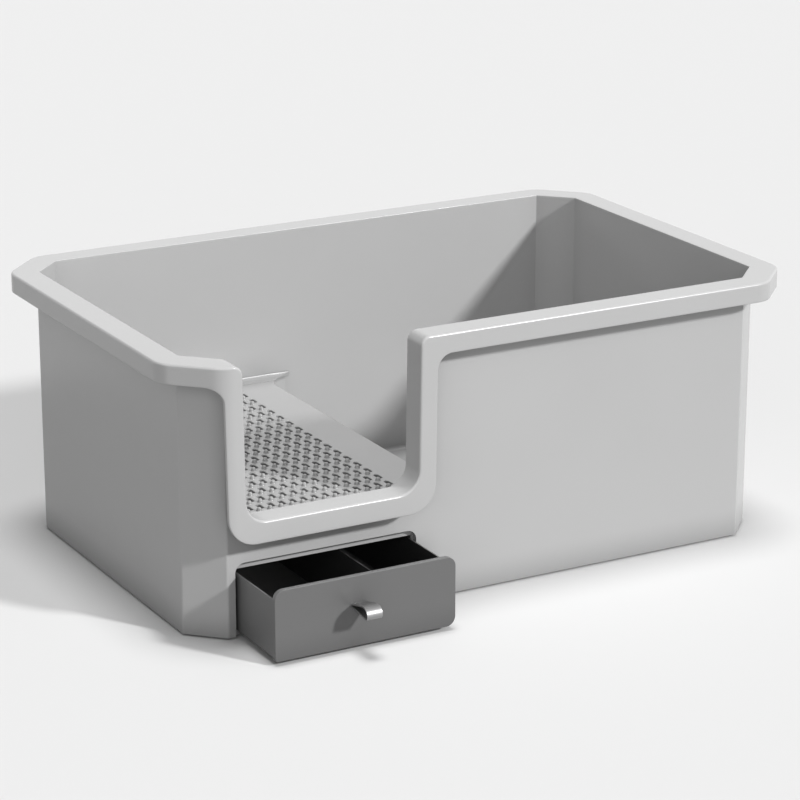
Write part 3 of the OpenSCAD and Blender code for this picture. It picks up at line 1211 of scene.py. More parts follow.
    def fitted_corner(self, made: List[Station], last: Station) -> List[Station]:
        """Fits the stations of the corner left of the entry to the band's fillet.

        Args:
            made: Stations round the rim from that corner on.
            last: The last station of the entry.

        Returns:
            The stations that take the place of the corner's own.
        """
        count = self.corner_steps + 1
        plan, after = self.plan, made[count]
        arc_start, arc_end = last.edge.x, made[count - 1].edge.x
        centre = Vector((made[0].edge.x, made[0].edge.y + plan.rim_corner, 0))
        fitted: List[Station] = []
        for i in range(1, count + 1):
            share = i / (count + 1)
            x = arc_start + (arc_end - arc_start) * i / count
            edge = Vector((x, self.outer_y(x), plan.rim_top))
            low = last.low.lerp(Vector((after.edge.x, after.edge.y, last.low.z)), share)
            back = last.back.lerp(after.back, share)
            fitted.append(Station(
                edge=edge,
                low=Vector((low.x, self.outer_y(low.x), plan.skirt_bottom)),
                back=Vector((back.x, self.inner_y(back.x), plan.rim_top)),
                inward=(centre - Vector((edge.x, edge.y, 0))).normalized(),
                down=Vector((0, 0, -1))))
        return fitted

    @staticmethod
    def inward_at(outline: Sequence[Point2], point: Point2) -> Vector:
        """Level direction into the outline, square to it, at one of its points.

        Args:
            outline: The outline's points, anticlockwise.
            point: One of them.

        Returns:
            The direction.
        """
        i = outline.index(point)
        before, after = outline[i - 1], outline[(i + 1) % len(outline)]
        a = (Vector(point) - Vector(before)).normalized()
        b = (Vector(after) - Vector(point)).normalized()
        along = (a + b).normalized()
        return Vector((-along.y, along.x, 0))

    def seat_rib(self) -> bpy.types.Object:
        """Builds the rib under the rim that seats it on the outside of the wall.

        Returns:
            The rib, open at the entry.
        """
        low, high = self.plan.wall_top - self.rib_depth, self.plan.wall_top + self.rib_sink
        bevel = self.rib_bevel
        made = self.plan.hoop("rim_seat_rib", [
            (self.rib_inner, low + bevel), (self.rib_inner - bevel, low),
            (self.rib_outer + bevel, low), (self.rib_outer, low + bevel),
            (self.rib_outer, high), (self.rib_inner, high)])
        edge = self.entry.opening(self.plan.rim_top, self.entry_steps)
        (right, _), (left, _) = edge[1][0], edge[-2][0]
        front, margin, reach = self.plan.front, self.rib_gap_margin, self.rib_gap_reach
        gap = block("entry gap", (left - margin, front - reach, low - margin),
                    (right + margin, front + reach, high + margin))
        work_in(made, gap, Joining.CUT)
        smooth(made)
        return made

    def make(self, finishes: FinishRack) -> None:
        """Builds the rim's pieces, dresses them and sets them on the tub's body.

        Args:
            finishes: The finishes to dress them in.
        """
        finishes.fit_out(Body.TUB, [
            (self.moulding(), Slot.LIGHT_PLASTIC, ["splash_rim"]),
            (self.seat_rib(), Slot.LIGHT_PLASTIC, []),
        ])


# ---------------------------------------------------------------- tub


@dataclass
class Tub:
    """The tub: walls, floor, the bay's wall, the step's ledge and the drawer's mouth."""

    plan: TubPlan
    entry: EntryOutline
    floor_inset: float = 12.0
    foot_round: float = 0.5
    floor_round: float = 4.0
    floor_steps: int = 5
    bay_x: float = -47.5
    bay_top: float = 101.5
    bay_sink: float = 1.5
    flare: float = 25.0
    flare_turn: int = 84
    flare_pitch: int = 7
    ledge_low: float = 98.5
    ledge_reach: float = 5.0
    ledge_gap: float = 1.0
    mouth_middle: float = -170.1
    mouth_width: float = 179.0
    mouth_top: float = 69.3
    mouth_round: float = 9.0
    mouth_steps: int = 8
    collar: float = 2.5
    collar_front: float = 1.2
    stop_y: float = -178.5
    stop_back: float = -176.0
    tray_way: float = 175.0
    stop_top: float = 62.8
    recess_reach: float = 6.0
    way_margins: Tuple[float, float] = (4.0, 3.0)
    gap_grow: float = 3.1
    gap_round: float = 6.0
    gap_beyond: float = 30.0
    gap_reach: float = 20.0
    gap_depth: float = 62.0
    edge_width: float = 0.7
    edge_limit: float = 55.0
    edge_segments: int = 2

    def shell(self) -> bpy.types.Object:
        """Builds the walls and the floor in one.

        Returns:
            The shell.
        """
        plan, r = self.plan, self.foot_round
        section = [
            (self.floor_inset, plan.floor_under), (self.floor_inset, plan.base), (r, plan.base),
            (r * MIDWAY, plan.base + r * MIDWAY), (0, plan.base + r), (0, plan.wall_top),
            (plan.wall, plan.wall_top),
        ]
        section.extend((plan.wall + across, plan.floor_top + under)
                       for across, under in quarter(self.floor_round, self.floor_steps))
        draft = Draft("tub_shell")
        draft.solid([draft.level(plan.walls(inset), z) for inset, z in section])
        return draft.build()

    def bay_wall(self) -> bpy.types.Object:
        """Builds the wall between the litter and the drawer's bay, flared into the tub's walls.

        Returns:
            The wall.
        """
        centre_x = self.bay_x + self.flare
        centre_y = self.plan.inner_back - self.flare
        turn = [math.radians(a) for a in range(0, self.flare_turn + 1, self.flare_pitch)]

        def face(r: float) -> List[Point2]:
            """One face of the wall from front to back, with its flares rounded at r.

            Args:
                r: Radius of the flares.

            Returns:
                The face's points in plan.
            """
            front = [(centre_x - r * math.cos(a), -(centre_y + r * math.sin(a)))
                     for a in reversed(turn)]
            back = [(centre_x - r * math.cos(a), centre_y + r * math.sin(a)) for a in turn]
            return front + back

        limit = self.plan.wall_width / 2 - self.plan.wall / 2
        outline = face(self.flare) + face(self.flare + self.plan.wall)[::-1]
        low = self.plan.floor_top - self.bay_sink
        draft = Draft("bay wall")
        draft.prism([(x, max(-limit, min(limit, y)), low) for x, y in outline],
                    (0, 0, self.bay_top - low))
        return draft.build()

    def ledge(self) -> bpy.types.Object:
        """Builds the ledge that carries the step plate round its other three sides.

        Returns:
            The ledge.
        """
        plan = self.plan
        outer, inner = plan.wall / 2, plan.wall + self.ledge_reach
        made = plan.hoop("ledge", [(inner, self.ledge_low), (outer, self.ledge_low),
                                   (outer, self.bay_top), (inner, self.bay_top)])
        work_in(made, plan.left_of(self.bay_x - self.ledge_gap), Joining.KEEP)
        return made

    def mouth(
        self, name: str, grow: float, low: float, front: float, back: float
    ) -> bpy.types.Object:
        """Builds a block with the mouth's outline.

        Args:
            name: Name of the block.
            grow: Distance that its outline lies outside the mouth's own.
            low: Height of its lower edge.
            front: Y of its front.
            back: Y of its back.

        Returns:
            The block.
        """
        half = self.mouth_width / 2 + grow
        left, right = self.mouth_middle - half, self.mouth_middle + half
        top, radius = self.mouth_top + grow, self.mouth_round + grow
        outline = rounded_outline([
            (left, low, 0), (right, low, 0), (right, top, radius), (left, top, radius),
        ], self.mouth_steps)
        draft = Draft(name)
        draft.prism([(x, front, z) for x, z in outline], (0, back - front, 0))
        return draft.build()

    def body(self) -> bpy.types.Object:
        """Builds the tub with its openings.

        Returns:
            The tub.
        """
        plan = self.plan
        made = self.shell()
        collar = self.mouth("collar", self.collar, plan.base, plan.front + self.collar_front,
                            self.stop_back)
        for part in (collar, self.bay_wall(), self.ledge()):
            work_in(made, part, Joining.ADD)
        work_in(made, self.entry_gap(), Joining.CUT)
        reach, (before, behind), half = self.recess_reach, self.way_margins, self.tray_way / 2
        recess = self.mouth("recess", 0, -reach, plan.front - reach, self.stop_y)
        work_in(made, recess, Joining.CUT)
        way = block("way for the tray",
                    (self.mouth_middle - half, self.stop_y - before, plan.floor_top),
                    (self.mouth_middle + half, self.stop_back + behind, self.stop_top))
        work_in(made, way, Joining.CUT)
        soften_edges(made, self.edge_width, self.edge_limit, self.edge_segments)
        smooth(made)
        made.name = "tub_with_drawer_mouth"
        return made

    def entry_gap(self) -> bpy.types.Object:
        """Builds the block that clears the wall behind the entry.

        Returns:
            The block.
        """
        plan, entry, grow = self.plan, self.entry, self.gap_grow
        left, right, low = entry.left - grow, entry.right + grow, entry.lip - grow
        shoulder, top = plan.rim_top - grow, plan.wall_top + self.gap_reach
        outline = rounded_outline([
            (left, low, entry.lower_round + grow), (right, low, entry.lower_round + grow),
            (right + entry.flare, shoulder, self.gap_round),
            (right + self.gap_beyond, shoulder, 0), (right + self.gap_beyond, top, 0),
            (left - self.gap_beyond, top, 0), (left - self.gap_beyond, shoulder, 0),
            (left - entry.flare, shoulder, self.gap_round),
        ], self.mouth_steps)
        draft = Draft("entry gap")
        draft.prism([(x, plan.front - self.gap_reach, z) for x, z in outline],
                    (0, self.gap_depth, 0))
        return draft.build()

    def make(self, finishes: FinishRack) -> None:
        """Builds the tub, dresses it and sets it on its body."""
        finishes.fit_out(Body.TUB, [(self.body(), Slot.LIGHT_PLASTIC, ["tub"])])


# ---------------------------------------------------------------- step


@dataclass
class StepPlate:
    """The lift-out step: a plate with slots, raised nubs and a cove along the back wall."""

    plan: TubPlan
    right: float = -47.5
    flare: float = 25.0
    flare_steps: int = 12
    top: float = 104.5
    thickness: float = 3.0
    gap: float = 0.4
    edge_round: float = 0.9
    columns: int = 16
    rows: int = 16
    pitch_x: float = 10.7
    pitch_y: float = 19.5
    first_x: float = -250.35
    first_y: float = -149.55
    slot_width: float = 4.6
    slot_length: float = 11.5
    slot_round: float = 0.7
    slot_steps: int = 9
    cell_left: float = 7.0
    cell_front: float = 13.25
    border_side: float = 3.4
    border_corner: float = 0.6
    border_shares: Tuple[float, ...] = (0.15, 0.35, 0.55, 0.75)
    nub_left: float = 5.4
    nub_radius: float = 2.8
    nub_height: float = 3.1
    nub_sides: int = 14
    nub_crisp: float = 60.0
    cove: float = 9.0
    cove_height: float = 5.0
    cove_tip: float = -21.5
    cove_left: float = 1.5
    cove_bow: float = 0.96
    cove_steps: int = 8
    cove_sink: float = 0.2
    cove_end: float = 0.3
    rib_outer: float = 7.8
    rib_inner: float = 10.3
    rib_depth: float = 6.0
    rib_sink: float = 0.4
    rib_bevel: float = 0.4
    rib_inner_bevel: float = 0.3
    rib_right: float = 2.8

    @property
    def low(self) -> float:
        """Height of the plate's underside."""
        return self.top - self.thickness

    def flare_x(self, y: float) -> float:
        """X of the flare's edge at a distance y past its centre."""
        return self.right + self.flare - math.sqrt(self.flare ** 2 - y ** 2)

    def outline(self, inset: float = 0.0) -> List[Point2]:
        """Outline of the plate, anticlockwise from the flare's front tip.

        Args:
            inset: Distance the outline is moved inwards.

        Returns:
            The outline's points.
        """
        centre_x = self.right + self.flare
        centre_y = self.plan.inner_back - self.flare
        radius = self.flare + inset
        side = self.plan.inner_back - self.gap - inset
        reach = math.asin(min(1.0, (side - centre_y) / radius))
        back = [(centre_x - radius * math.cos(a), centre_y + radius * math.sin(a))
                for a in (reach * k / self.flare_steps for k in range(self.flare_steps + 1))]
        front = [(x, -y) for x, y in reversed(back)]
        walls = self.plan.walls(self.plan.wall + self.gap + inset)
        left = [p for p in walls if p[0] < self.first_x]
        left.sort(key=lambda p: math.atan2(p[1], p[0]) % math.tau)
        return front + back + left

    def slots(self) -> List[Point2]:
        """Middles of the slots, column by column."""
        return [(self.first_x + i * self.pitch_x, self.first_y + j * self.pitch_y)
                for i in range(self.columns) for j in range(self.rows)]

    def cell(self, draft: Draft, x: float, y: float) -> None:
        """Draws one cell of the plate: a slot with rounded edges and the plate round it.

        Args:
            draft: The plate's draft.
            x: X of the slot's middle.
            y: Y of the slot's middle.
        """
        r, border = self.slot_round, self.border(x, y)
        rings = [draft.level(border, self.top)]
        for grow, depth in ((r, 0), (r * MIDWAY, r * MIDWAY), (0, r), (0, self.thickness)):
            rings.append(draft.level(self.pill(x, y, grow), self.top - depth))
        rings.append(draft.level(border, self.low))
        draft.skin(rings)

    def pill(self, x: float, y: float, grow: float) -> List[Point2]:
        """Outline of a slot with round ends, from its right side's back, anticlockwise.

        Args:
            x: X of the slot's middle.
            y: Y of the slot's middle.
            grow: Distance the outline is moved outwards.

        Returns:
            The outline's points.
        """
        r = self.slot_width / 2 + grow
        k = (self.slot_length - self.slot_width) / 2
        turn = [math.pi * i / self.slot_steps for i in range(self.slot_steps + 1)]
        back = [(x + r * math.cos(a), y + k + r * math.sin(a)) for a in turn]
        front = [(x - r * math.cos(a), y - k - r * math.sin(a)) for a in turn]
        return back + front

    def border(self, x: float, y: float) -> List[Point2]:
        """Points round a cell's border, each opposite one of its slot's outline.

        Args:
            x: X of the slot's middle.
            y: Y of the slot's middle.

        Returns:
            The border's points.
        """
        x0, y0 = x - self.cell_left, y - self.cell_front
        x1, y1 = x0 + self.pitch_x, y0 + self.pitch_y
        side, corner = self.border_side, self.border_corner
        across = [x0 + (x1 - x0) * share for share in self.border_shares]
        return [
            (x1, y + side), (x1, y1 - corner), (x1, y1),
            *((px, y1) for px in reversed(across)),
            (x0, y1), (x0, y1 - corner), (x0, y + side),
            (x0, y - side), (x0, y0 + corner), (x0, y0),
            *((px, y0) for px in across),
            (x1, y0), (x1, y0 + corner), (x1, y - side),
        ]

    def grid_border(self) -> List[Point2]:
        """Points round the whole grid of cells, those of the cells' own borders.

        Returns:
            The points, anticlockwise from the front left corner.
        """
        digits, near = 5, 1e-4
        points = {(round(px, digits), round(py, digits)) for x, y in self.slots()
                  for px, py in self.border(x, y)}
        xs, ys = zip(*points)

        def along(axis: int, end: float) -> List[Point2]:
            """Points that lie at the end of one axis, in order along the other."""
            return sorted((p for p in points if abs(p[axis] - end) < near),
                          key=lambda p: p[1 - axis])

        front, back = along(1, min(ys)), along(1, max(ys))
        left, right = along(0, min(xs)), along(0, max(xs))
        return front + right[1:] + back[-2::-1] + left[-2:0:-1]

    def plate(self) -> bpy.types.Object:
        """Builds the perforated plate.

        Returns:
            The plate.
        """
        draft = Draft("step_plate_perforated")
        for x, y in self.slots():
            self.cell(draft, x, y)
        r = self.edge_round
        edge = [draft.level(self.outline(inset), z) for inset, z in (
            (0, self.low), (0, self.top - r), (r * MIDWAY, self.top - r * MIDWAY), (r, self.top))]
        draft.skin(edge)
        for ring, z in ((edge[-1], self.top), (edge[0], self.low)):
            draft.fill(ring, draft.level(self.grid_border(), z))
        return draft.build(CRISP_ROUNDED)

    def nubs(self) -> bpy.types.Object:
        """Builds the raised nubs, domed and blended into the plate at their feet.

        Returns:
            All the nubs, as one object.
        """
        shape = [(0.9, 0.08), (0.83, 0.3), (0.75, 0.55), (0.64, 0.76), (0.48, 0.91),
                 (0.27, 0.985), (0.08, 1.0)]
        r, h = self.nub_radius, self.nub_height
        profile = [(r, -0.3), (r, 0.02)] + [(r * out, up * h) for out, up in shape]
        draft = Draft("step_grip_nubs")
        for x, y in self.slots():
            foot = (x - self.nub_left, y - self.pitch_y / 2, self.top)
            draft.turned(profile, foot, sides=self.nub_sides)
        return draft.build(self.nub_crisp)

    def back_cove(self) -> bpy.types.Object:
        """Builds the cove where the step turns up along the back wall.

        Returns:
            The cove.
        """
        back = self.plan.inner_back - self.gap
        centre_y = self.plan.inner_back - self.flare
        left = self.plan.wall + self.plan.wall_cut - self.cove_left - self.plan.wall_length / 2
        start_y = back - self.cove
        bend_x = self.flare_x(start_y - centre_y)
        arc_tip = self.flare_x(back - self.cove_end - centre_y)
        stretch = (self.cove_tip - bend_x) / (arc_tip - bend_x)
        steps, sink, low = self.cove_steps, self.cove_sink, self.top - self.cove_sink
        places = [(left, start_y), (bend_x, start_y)]
        for k in range(1, steps + 1):
            y = start_y + (self.cove - self.cove_end) * k / steps
            arc_x = self.flare_x(y - centre_y)
            places.append((bend_x + (arc_x - bend_x) * stretch, y))
        draft = Draft("step_back_cove")
        rings = []
        for x, near in places:
            across = [near + (back - sink - near) * k / steps for k in range(steps + 1)]
            section = [(near, low), *((y, self.cove_at(back - y)) for y in across),
                       (back, low + self.cove_height), (back, low)]
            rings.append(draft.ring((x, y, z) for y, z in section))
        draft.solid(rings)
        return draft.build(CRISP_ROUNDED)

    def cove_at(self, distance: float) -> float:
        """Height of the cove's surface at a distance from the back wall's face."""
        share = max(0.0, min(1.0, 1 - distance / self.cove))
        return self.top + self.cove_height * (1 - math.sqrt(1 - share ** 2) * self.cove_bow)

    def under_rib(self) -> bpy.types.Object:
        """Builds the rib under the plate that locates it inside the ledge.

        Returns:
            The rib.
        """
        low, high = self.low - self.rib_depth, self.low + self.rib_sink
        made = self.plan.hoop("step_locating_rib", [
            (self.rib_inner, high), (self.rib_inner, low + self.rib_bevel),
            (self.rib_inner - self.rib_inner_bevel, low), (self.rib_outer + self.rib_bevel, low),
            (self.rib_outer, low + self.rib_bevel), (self.rib_outer, high)])
        work_in(made, self.plan.left_of(self.right - self.rib_right), Joining.KEEP)
        smooth(made)
        return made

    def make(self, finishes: FinishRack) -> None:
        """Builds the step's pieces, dresses them and sets them on the step's body.

        Args:
            finishes: The finishes to dress them in.
        """
        # The step wears the darker copy of the light grey plastic, painted shade for its place deep
        # in the tub.
        finishes.fit_out(Body.STEP, [
            (self.plate(), Slot.LIGHT_PLASTIC, ["step_plate"]),
            (self.nubs(), Slot.LIGHT_PLASTIC, []),
            (self.back_cove(), Slot.LIGHT_PLASTIC, []),
            (self.under_rib(), Slot.LIGHT_PLASTIC, []),
        ], finishes.step)


# ---------------------------------------------------------------- drawer


@dataclass
class Drawer:
    """The pull-out drawer: front, tray, divider, pull tab and its fixings."""

    middle: float = -170.1
    face: float = -256.8
    back_of_front: float = -251.8
    front_width: float = 176.0
    front_low: float = 4.0
    front_top: float = 68.55
    front_round: float = 9.0
    front_steps: int = 10
    low_left_round: float = 3.0
    front_edge: Sequence[Point2] = ((0.4, 0.0), (0.12, 0.12), (0.0, 0.4))
    tray_width: float = 174.0
    tray_back: float = 84.2
    tray_low: float = 6.3
    tray_top: float = 59.5
    tray_wall: float = 1.8
    tray_round: float = 1.2
    tray_inner_round: float = 1.0
    tray_foot: Sequence[Point2] = ((0.8, 0.0), (0.25, 0.25), (0.0, 0.8))
    tray_lip: Sequence[Point2] = ((0.0, -0.5), (0.2, -0.12), (0.55, 0.0))
    tray_cove: float = 2.2
    tray_cove_steps: int = 4
    divider: float = -151.5
    divider_thickness: float = 1.6
    divider_top: float = 59.0
    divider_round: float = 0.2
    divider_lip: Sequence[Point2] = ((0.0, -0.5), (0.15, -0.15), (0.45, 0.0))
    divider_play: float = 0.1
    guide_length: float = 3.2
    guide_round: float = 0.3
    guide_sink: float = 0.2
    tab_middle: float = -177.3
    tab_width: float = 15.0
    tab_thickness: float = 1.5
    tab_root: float = 43.5
    tab_foot: float = 18.0
    tab_edge: float = 0.25
    tab_steps: int = 14
    curl_top: float = 48.1
    curl_low: float = 36.9
    curl_top_round: float = 7.3
    curl_low_round: float = 3.2
    tip: float = -285.1
    knee: float = -273.8
    knee_round: float = 12.0
    root_round: float = 5.0
    leg_bend: Point2 = (-266.1, 39.4)
    leg_round: float = 3.0
    leg_end: float = 40.2
    foot_round: float = 0.4
    end_round: float = 0.3
    tab_play: float = 0.1
    rivet_heights: Tuple[float, float] = (36.3, 29.1)
    screw_offset: float = 65.0
    screw_heights: Tuple[float, float] = (20.0, 50.55)
    screw_shank: float = 5.0

    @staticmethod
    def box_outline(low: Point2, high: Point2, radius: float) -> List[Point2]:
        """Outline in plan of a rectangle with small corner roundings.

        Args:
            low: Its front left corner.
            high: Its back right corner.
            radius: Rounding of its corners.

        Returns:
            The outline's points.
        """
        (x0, y0), (x1, y1) = low, high
        return rounded_outline(
            [(x0, y0, radius), (x1, y0, radius), (x1, y1, radius), (x0, y1, radius)], steps=4)

    def tray(self) -> bpy.types.Object:
        """Builds the tray, with rounded edges and a small cove at its floor.

        Returns:
            The tray.
        """
        x0, x1 = self.middle - self.tray_width / 2, self.middle + self.tray_width / 2
        draft = Draft("drawer_tray_shell")

        def ring(inset: float, z: float, radius: float) -> List[int]:
            """Ring at height z whose outline lies in by inset from the tray's outside.

            Args:
                inset: Distance in from the tray's outside.
                z: Height of the ring.
                radius: Rounding of its corners.

            Returns:
                Its point numbers.
            """
            outline = self.box_outline((x0 + inset, self.back_of_front + inset),
                                       (x1 - inset, self.tray_back - inset), radius)
            return draft.level(outline, z)

        t = self.tray_wall
        rings = [ring(g, self.tray_low + up, self.tray_round) for g, up in self.tray_foot]
        rings += [ring(g, self.tray_top + up, self.tray_round) for g, up in self.tray_lip]
        rings += [ring(t - g, self.tray_top + up, self.tray_inner_round)
                  for g, up in reversed(self.tray_lip)]
        rings += [ring(t + g, self.tray_low + t + up, self.tray_inner_round)
                  for g, up in quarter(self.tray_cove, self.tray_cove_steps)]
        draft.solid(rings)
        return draft.build()

    def divider_guides(self) -> bpy.types.Object:
        """Builds the pairs of ribs that hold the divider's ends.

        Returns:
            The ribs, as one object.
        """
        draft = Draft("drawer_divider_guides")
        t, length = self.divider_thickness, self.guide_length
        half = t / 2 + self.divider_play
        floor = self.tray_low + self.tray_wall
        for y in (self.back_of_front + self.tray_wall, self.tray_back - self.tray_wall - length):
            for x in (self.divider + half, self.divider - half - t):
                outline = self.box_outline((x, y), (x + t, y + length), self.guide_round)
                draft.prism([(px, py, floor - self.guide_sink) for px, py in outline],
                            (0, 0, self.divider_top - floor))
        return draft.build()

    def divider_wall(self) -> bpy.types.Object:
        """Builds the divider, with a rounded upper edge.

        Returns:
            The divider.
        """
        draft = Draft("drawer_divider_wall")
        x, t = self.divider, self.divider_thickness / 2
        end = self.tray_wall + self.divider_play
        front, back = self.back_of_front + end, self.tray_back - end
        section = [(0.0, self.tray_low + self.tray_wall)]
        section += [(g, self.divider_top + up) for g, up in self.divider_lip]
        draft.solid([
            draft.level(self.box_outline((x - t + g, front + g), (x + t - g, back - g),
                                         self.divider_round), z)
            for g, z in section])
        return draft.build()

    def front_plate(self) -> bpy.types.Object:
        """Builds the drawer's front: a plate with rounded corners and softened edges.

        Returns:
            The front.
        """
        draft = Draft("drawer_front_plate")
        edge = self.front_edge
        places = [(g, self.face + into) for g, into in edge]
        places += [(g, self.back_of_front - into) for g, into in reversed(edge)]
        rings = []
        for inset, y in places:
            half = self.front_width / 2 - inset
            r, low, top = self.front_round - inset, self.front_low + inset, self.front_top - inset
            outline = rounded_outline([
                (self.middle - half, low, self.low_left_round - inset),
                (self.middle + half, low, r), (self.middle + half, top, r),
                (self.middle - half, top, r),
            ], self.front_steps)
            rings.append(draft.ring((x, y, z) for x, z in outline))
        draft.solid(rings)
        return draft.build(CRISP_ROUNDED)

    def pull_tab(self) -> bpy.types.Object:
        """Builds the curled steel strip, folded back under itself, with its edges broken.

        Returns:
            The tab.
        """
        t, top, low = self.tab_thickness, self.curl_top, self.curl_low
        back, front = self.back_of_front - self.tab_play, self.face - self.tab_play
        bend_y, bend_z = self.leg_bend
        foot, root, end = self.tab_root - self.tab_foot, self.tab_root, self.leg_end
        foot_round, end_round = self.foot_round, self.end_round
        top_round, low_round = self.curl_top_round, self.curl_low_round
        side = rounded_outline([
            (back, foot, foot_round), (back, root, foot_round), (self.face, root, self.root_round),
            (self.knee, top, self.knee_round), (self.tip, top, top_round),
            (self.tip, low, low_round), (bend_y, bend_z, self.leg_round),
            (front, end, end_round), (front, end + t, end_round),
            (bend_y, bend_z + t, self.leg_round), (self.tip + t, low + t, low_round - t),
            (self.tip + t, top - t, top_round - t), (self.knee, top - t, self.knee_round),
            (self.face, root - t, self.root_round), (back - t, root - t, foot_round),
            (back - t, foot, foot_round),
        ], self.tab_steps)
        x0, x1 = self.tab_middle - self.tab_width / 2, self.tab_middle + self.tab_width / 2
        draft = Draft("pull_tab_strip")
        edge = self.tab_edge
        core = self.inset_side(side, edge)
        rings = [draft.ring((x, y, z) for y, z in outline) for x, outline in (
            (x0, core), (x0 + edge, side), (x1 - edge, side), (x1, core))]
        draft.skin(rings)
        draft.fill(rings[0])
        draft.fill(rings[-1])
        return draft.build(limit=40)

    @staticmethod
    def inset_side(outline: Sequence[Point2], inset: float) -> List[Point2]:
        """Outline moved in by a small distance, point for point.

        Args:
            outline: The outline's points.
            inset: Distance that it is moved inwards.

        Returns:
            As many points, in the same order.
        """
        count = len(outline)
        area = sum(x0 * y1 - x1 * y0
                   for (x0, y0), (x1, y1) in zip(outline, [*outline[1:], outline[0]]))
        inward = inset if area > 0 else -inset
        moved = []
        for i in range(count):
            before, here, after = (Vector(outline[(i + k) % count]) for k in (-1, 0, 1))
            a, b = here - before, after - here
            if a.length < TINY or b.length < TINY:
                moved.append(tuple(here))
                continue
            along = (a.normalized() + b.normalized()).normalized()
            moved.append((here.x - along.y * inward, here.y + along.x * inward))
        return moved

    def rivets(self) -> bpy.types.Object:
        """Builds the two rivets that hold the tab's foot.

        Returns:
            The rivets, as one object.
        """
        profile = [(0.9, 0.0), (1.35, 0.12), (1.6, 0.4), (1.6, 3.7), (1.35, 4.0), (0.9, 4.05)]
        draft = Draft("tab_rivet_pins")
        for z in self.rivet_heights:
            draft.turned(profile, (self.tab_middle, self.back_of_front - self.tab_play, z),
                         (0, -1, 0))
        return draft.build()

    def screws(self) -> bpy.types.Object:
        """Builds the four screws that hold the tray to its front.

        Returns:
            The screws, as one object.
        """
        y = self.back_of_front + self.tray_wall
        places = [(self.middle + side * self.screw_offset, y, z)
                  for side in (-1, 1) for z in self.screw_heights]
        return screw_set("drawer_front_screw_set", places, self.screw_shank, upright=False)

    def make(self, finishes: FinishRack) -> None:
        """Builds the drawer's pieces, dresses them and sets them on the drawer's body.

        Args:
            finishes: The finishes to dress them in.
        """
        finishes.fit_out(Body.DRAWER, [
            (self.tray(), Slot.DARK_PLASTIC, ["drawer_tray"]),
            (self.divider_guides(), Slot.DARK_PLASTIC, []),
            (self.divider_wall(), Slot.DARK_PLASTIC, ["drawer_divider"]),
            (self.front_plate(), Slot.DARK_PLASTIC, ["drawer_front"]),
            (self.pull_tab(), Slot.STEEL, ["pull_tab"]),
            (self.rivets(), Slot.STEEL, ["tab_rivets"]),
            (self.screws(), Slot.STEEL, ["front_screws"]),
        ])


# ---------------------------------------------------------------- rails and feet


@dataclass
class Underpinnings:
    """The drawer's guide rails with their screws, and the feet."""

    middle: float = -170.1
    rail_gap: float = 87.5
    rail_thickness: float = 2.2
    rail_height: float = 24.0
    rail_foot: float = 12.0
    rail_front: float = -168.0
    rail_length: float = 290.0
    heel_round: float = 2.0
    toe_round: float = 0.7
    rail_top_round: float = 0.9
    rail_base_round: float = 0.3
    floor: float = 6.0
    screw_places: Tuple[float, float] = (-138.0, 92.0)
    screw_shank: float = 4.2
    foot_x: float = 249.0
    foot_y: float = 136.0
    foot_radius: float = 12.0
    foot_height: float = 3.0
    foot_sides: int = 40

    def rail(self, side: int) -> bpy.types.Object:
        """Builds one guide rail: an L-shaped strip with a filleted heel and rounded edges.

        Args:
            side: -1 for the left rail, 1 for the right.

        Returns:
            The rail.
        """
        x = self.middle + side * self.rail_gap
        t, w, low, high = self.rail_thickness, self.rail_foot, self.floor, self.rail_height
        section = rounded_outline([
            (0.0, low, self.rail_base_round), (w, low, self.rail_base_round),
            (w, low + t, self.toe_round), (t, low + t, self.heel_round),
            (t, low + high, self.rail_top_round), (0.0, low + high, self.rail_top_round),
        ], steps=5)
        draft = Draft("guide_rail_strip_" + ("right" if side > 0 else "left"))
        draft.prism([(x + side * px, self.rail_front, z) for px, z in section],
                    (0, self.rail_length, 0))
        return draft.build()

    def screws(self) -> bpy.types.Object:
        """Builds the rails' four screws.

        Returns:
            The screws, as one object.
        """
        t = self.rail_thickness
        offset = self.rail_gap + t + (self.rail_foot - t) / 2
        places = [(self.middle + side * offset, y, self.floor + t)
                  for side in (-1, 1) for y in self.screw_places]
        return screw_set("rail_screw_set", places, self.screw_shank, upright=True)

    def foot(self, name: str, side: int, end: int) -> bpy.types.Object:
        """Builds a foot pad with a grooved, rounded underside.

        Args:
            name: Name of the piece.
            side: -1 at the left, 1 at the right, 0 in the middle.
            end: -1 at the front, 1 at the back, 0 in the middle.

        Returns:
            The foot.
        """
        r = self.foot_radius
        profile = [(1.0, 0.0), (r * 0.45, 0.0), (r * 0.5, 0.5), (r * 0.6, 0.5), (r * 0.65, 0.0),
                   (r - 0.6, 0.0), (r - 0.15, 0.2), (r, 0.7), (r, self.foot_height),
                   (r - 1, self.foot_height)]
        draft = Draft(name)
        draft.turned(profile, (side * self.foot_x, end * self.foot_y, 0.0), sides=self.foot_sides)
        return draft.build()

    def make(self, finishes: FinishRack) -> None:
        """Builds the rails, screws and feet, dresses them and sets them on the tub's body.

        Args:
            finishes: The finishes to dress them in.
        """
        fittings = [
            (self.rail(-1), Slot.WHITE_PLASTIC, ["guide_rail_left"]),
            (self.rail(1), Slot.WHITE_PLASTIC, ["guide_rail_right"]),
            (self.screws(), Slot.STEEL, ["rail_screws"]),
        ]
        for place_name, side, end in (("front_left", -1, -1), ("front_right", 1, -1),
                                      ("back_left", -1, 1), ("back_right", 1, 1),
                                      ("middle", 0, 0)):
            foot = self.foot("grooved_foot_" + place_name, side, end)
            fittings.append((foot, Slot.RUBBER, ["foot_pad_" + place_name]))
        finishes.fit_out(Body.TUB, fittings)


# ---------------------------------------------------------------- studio


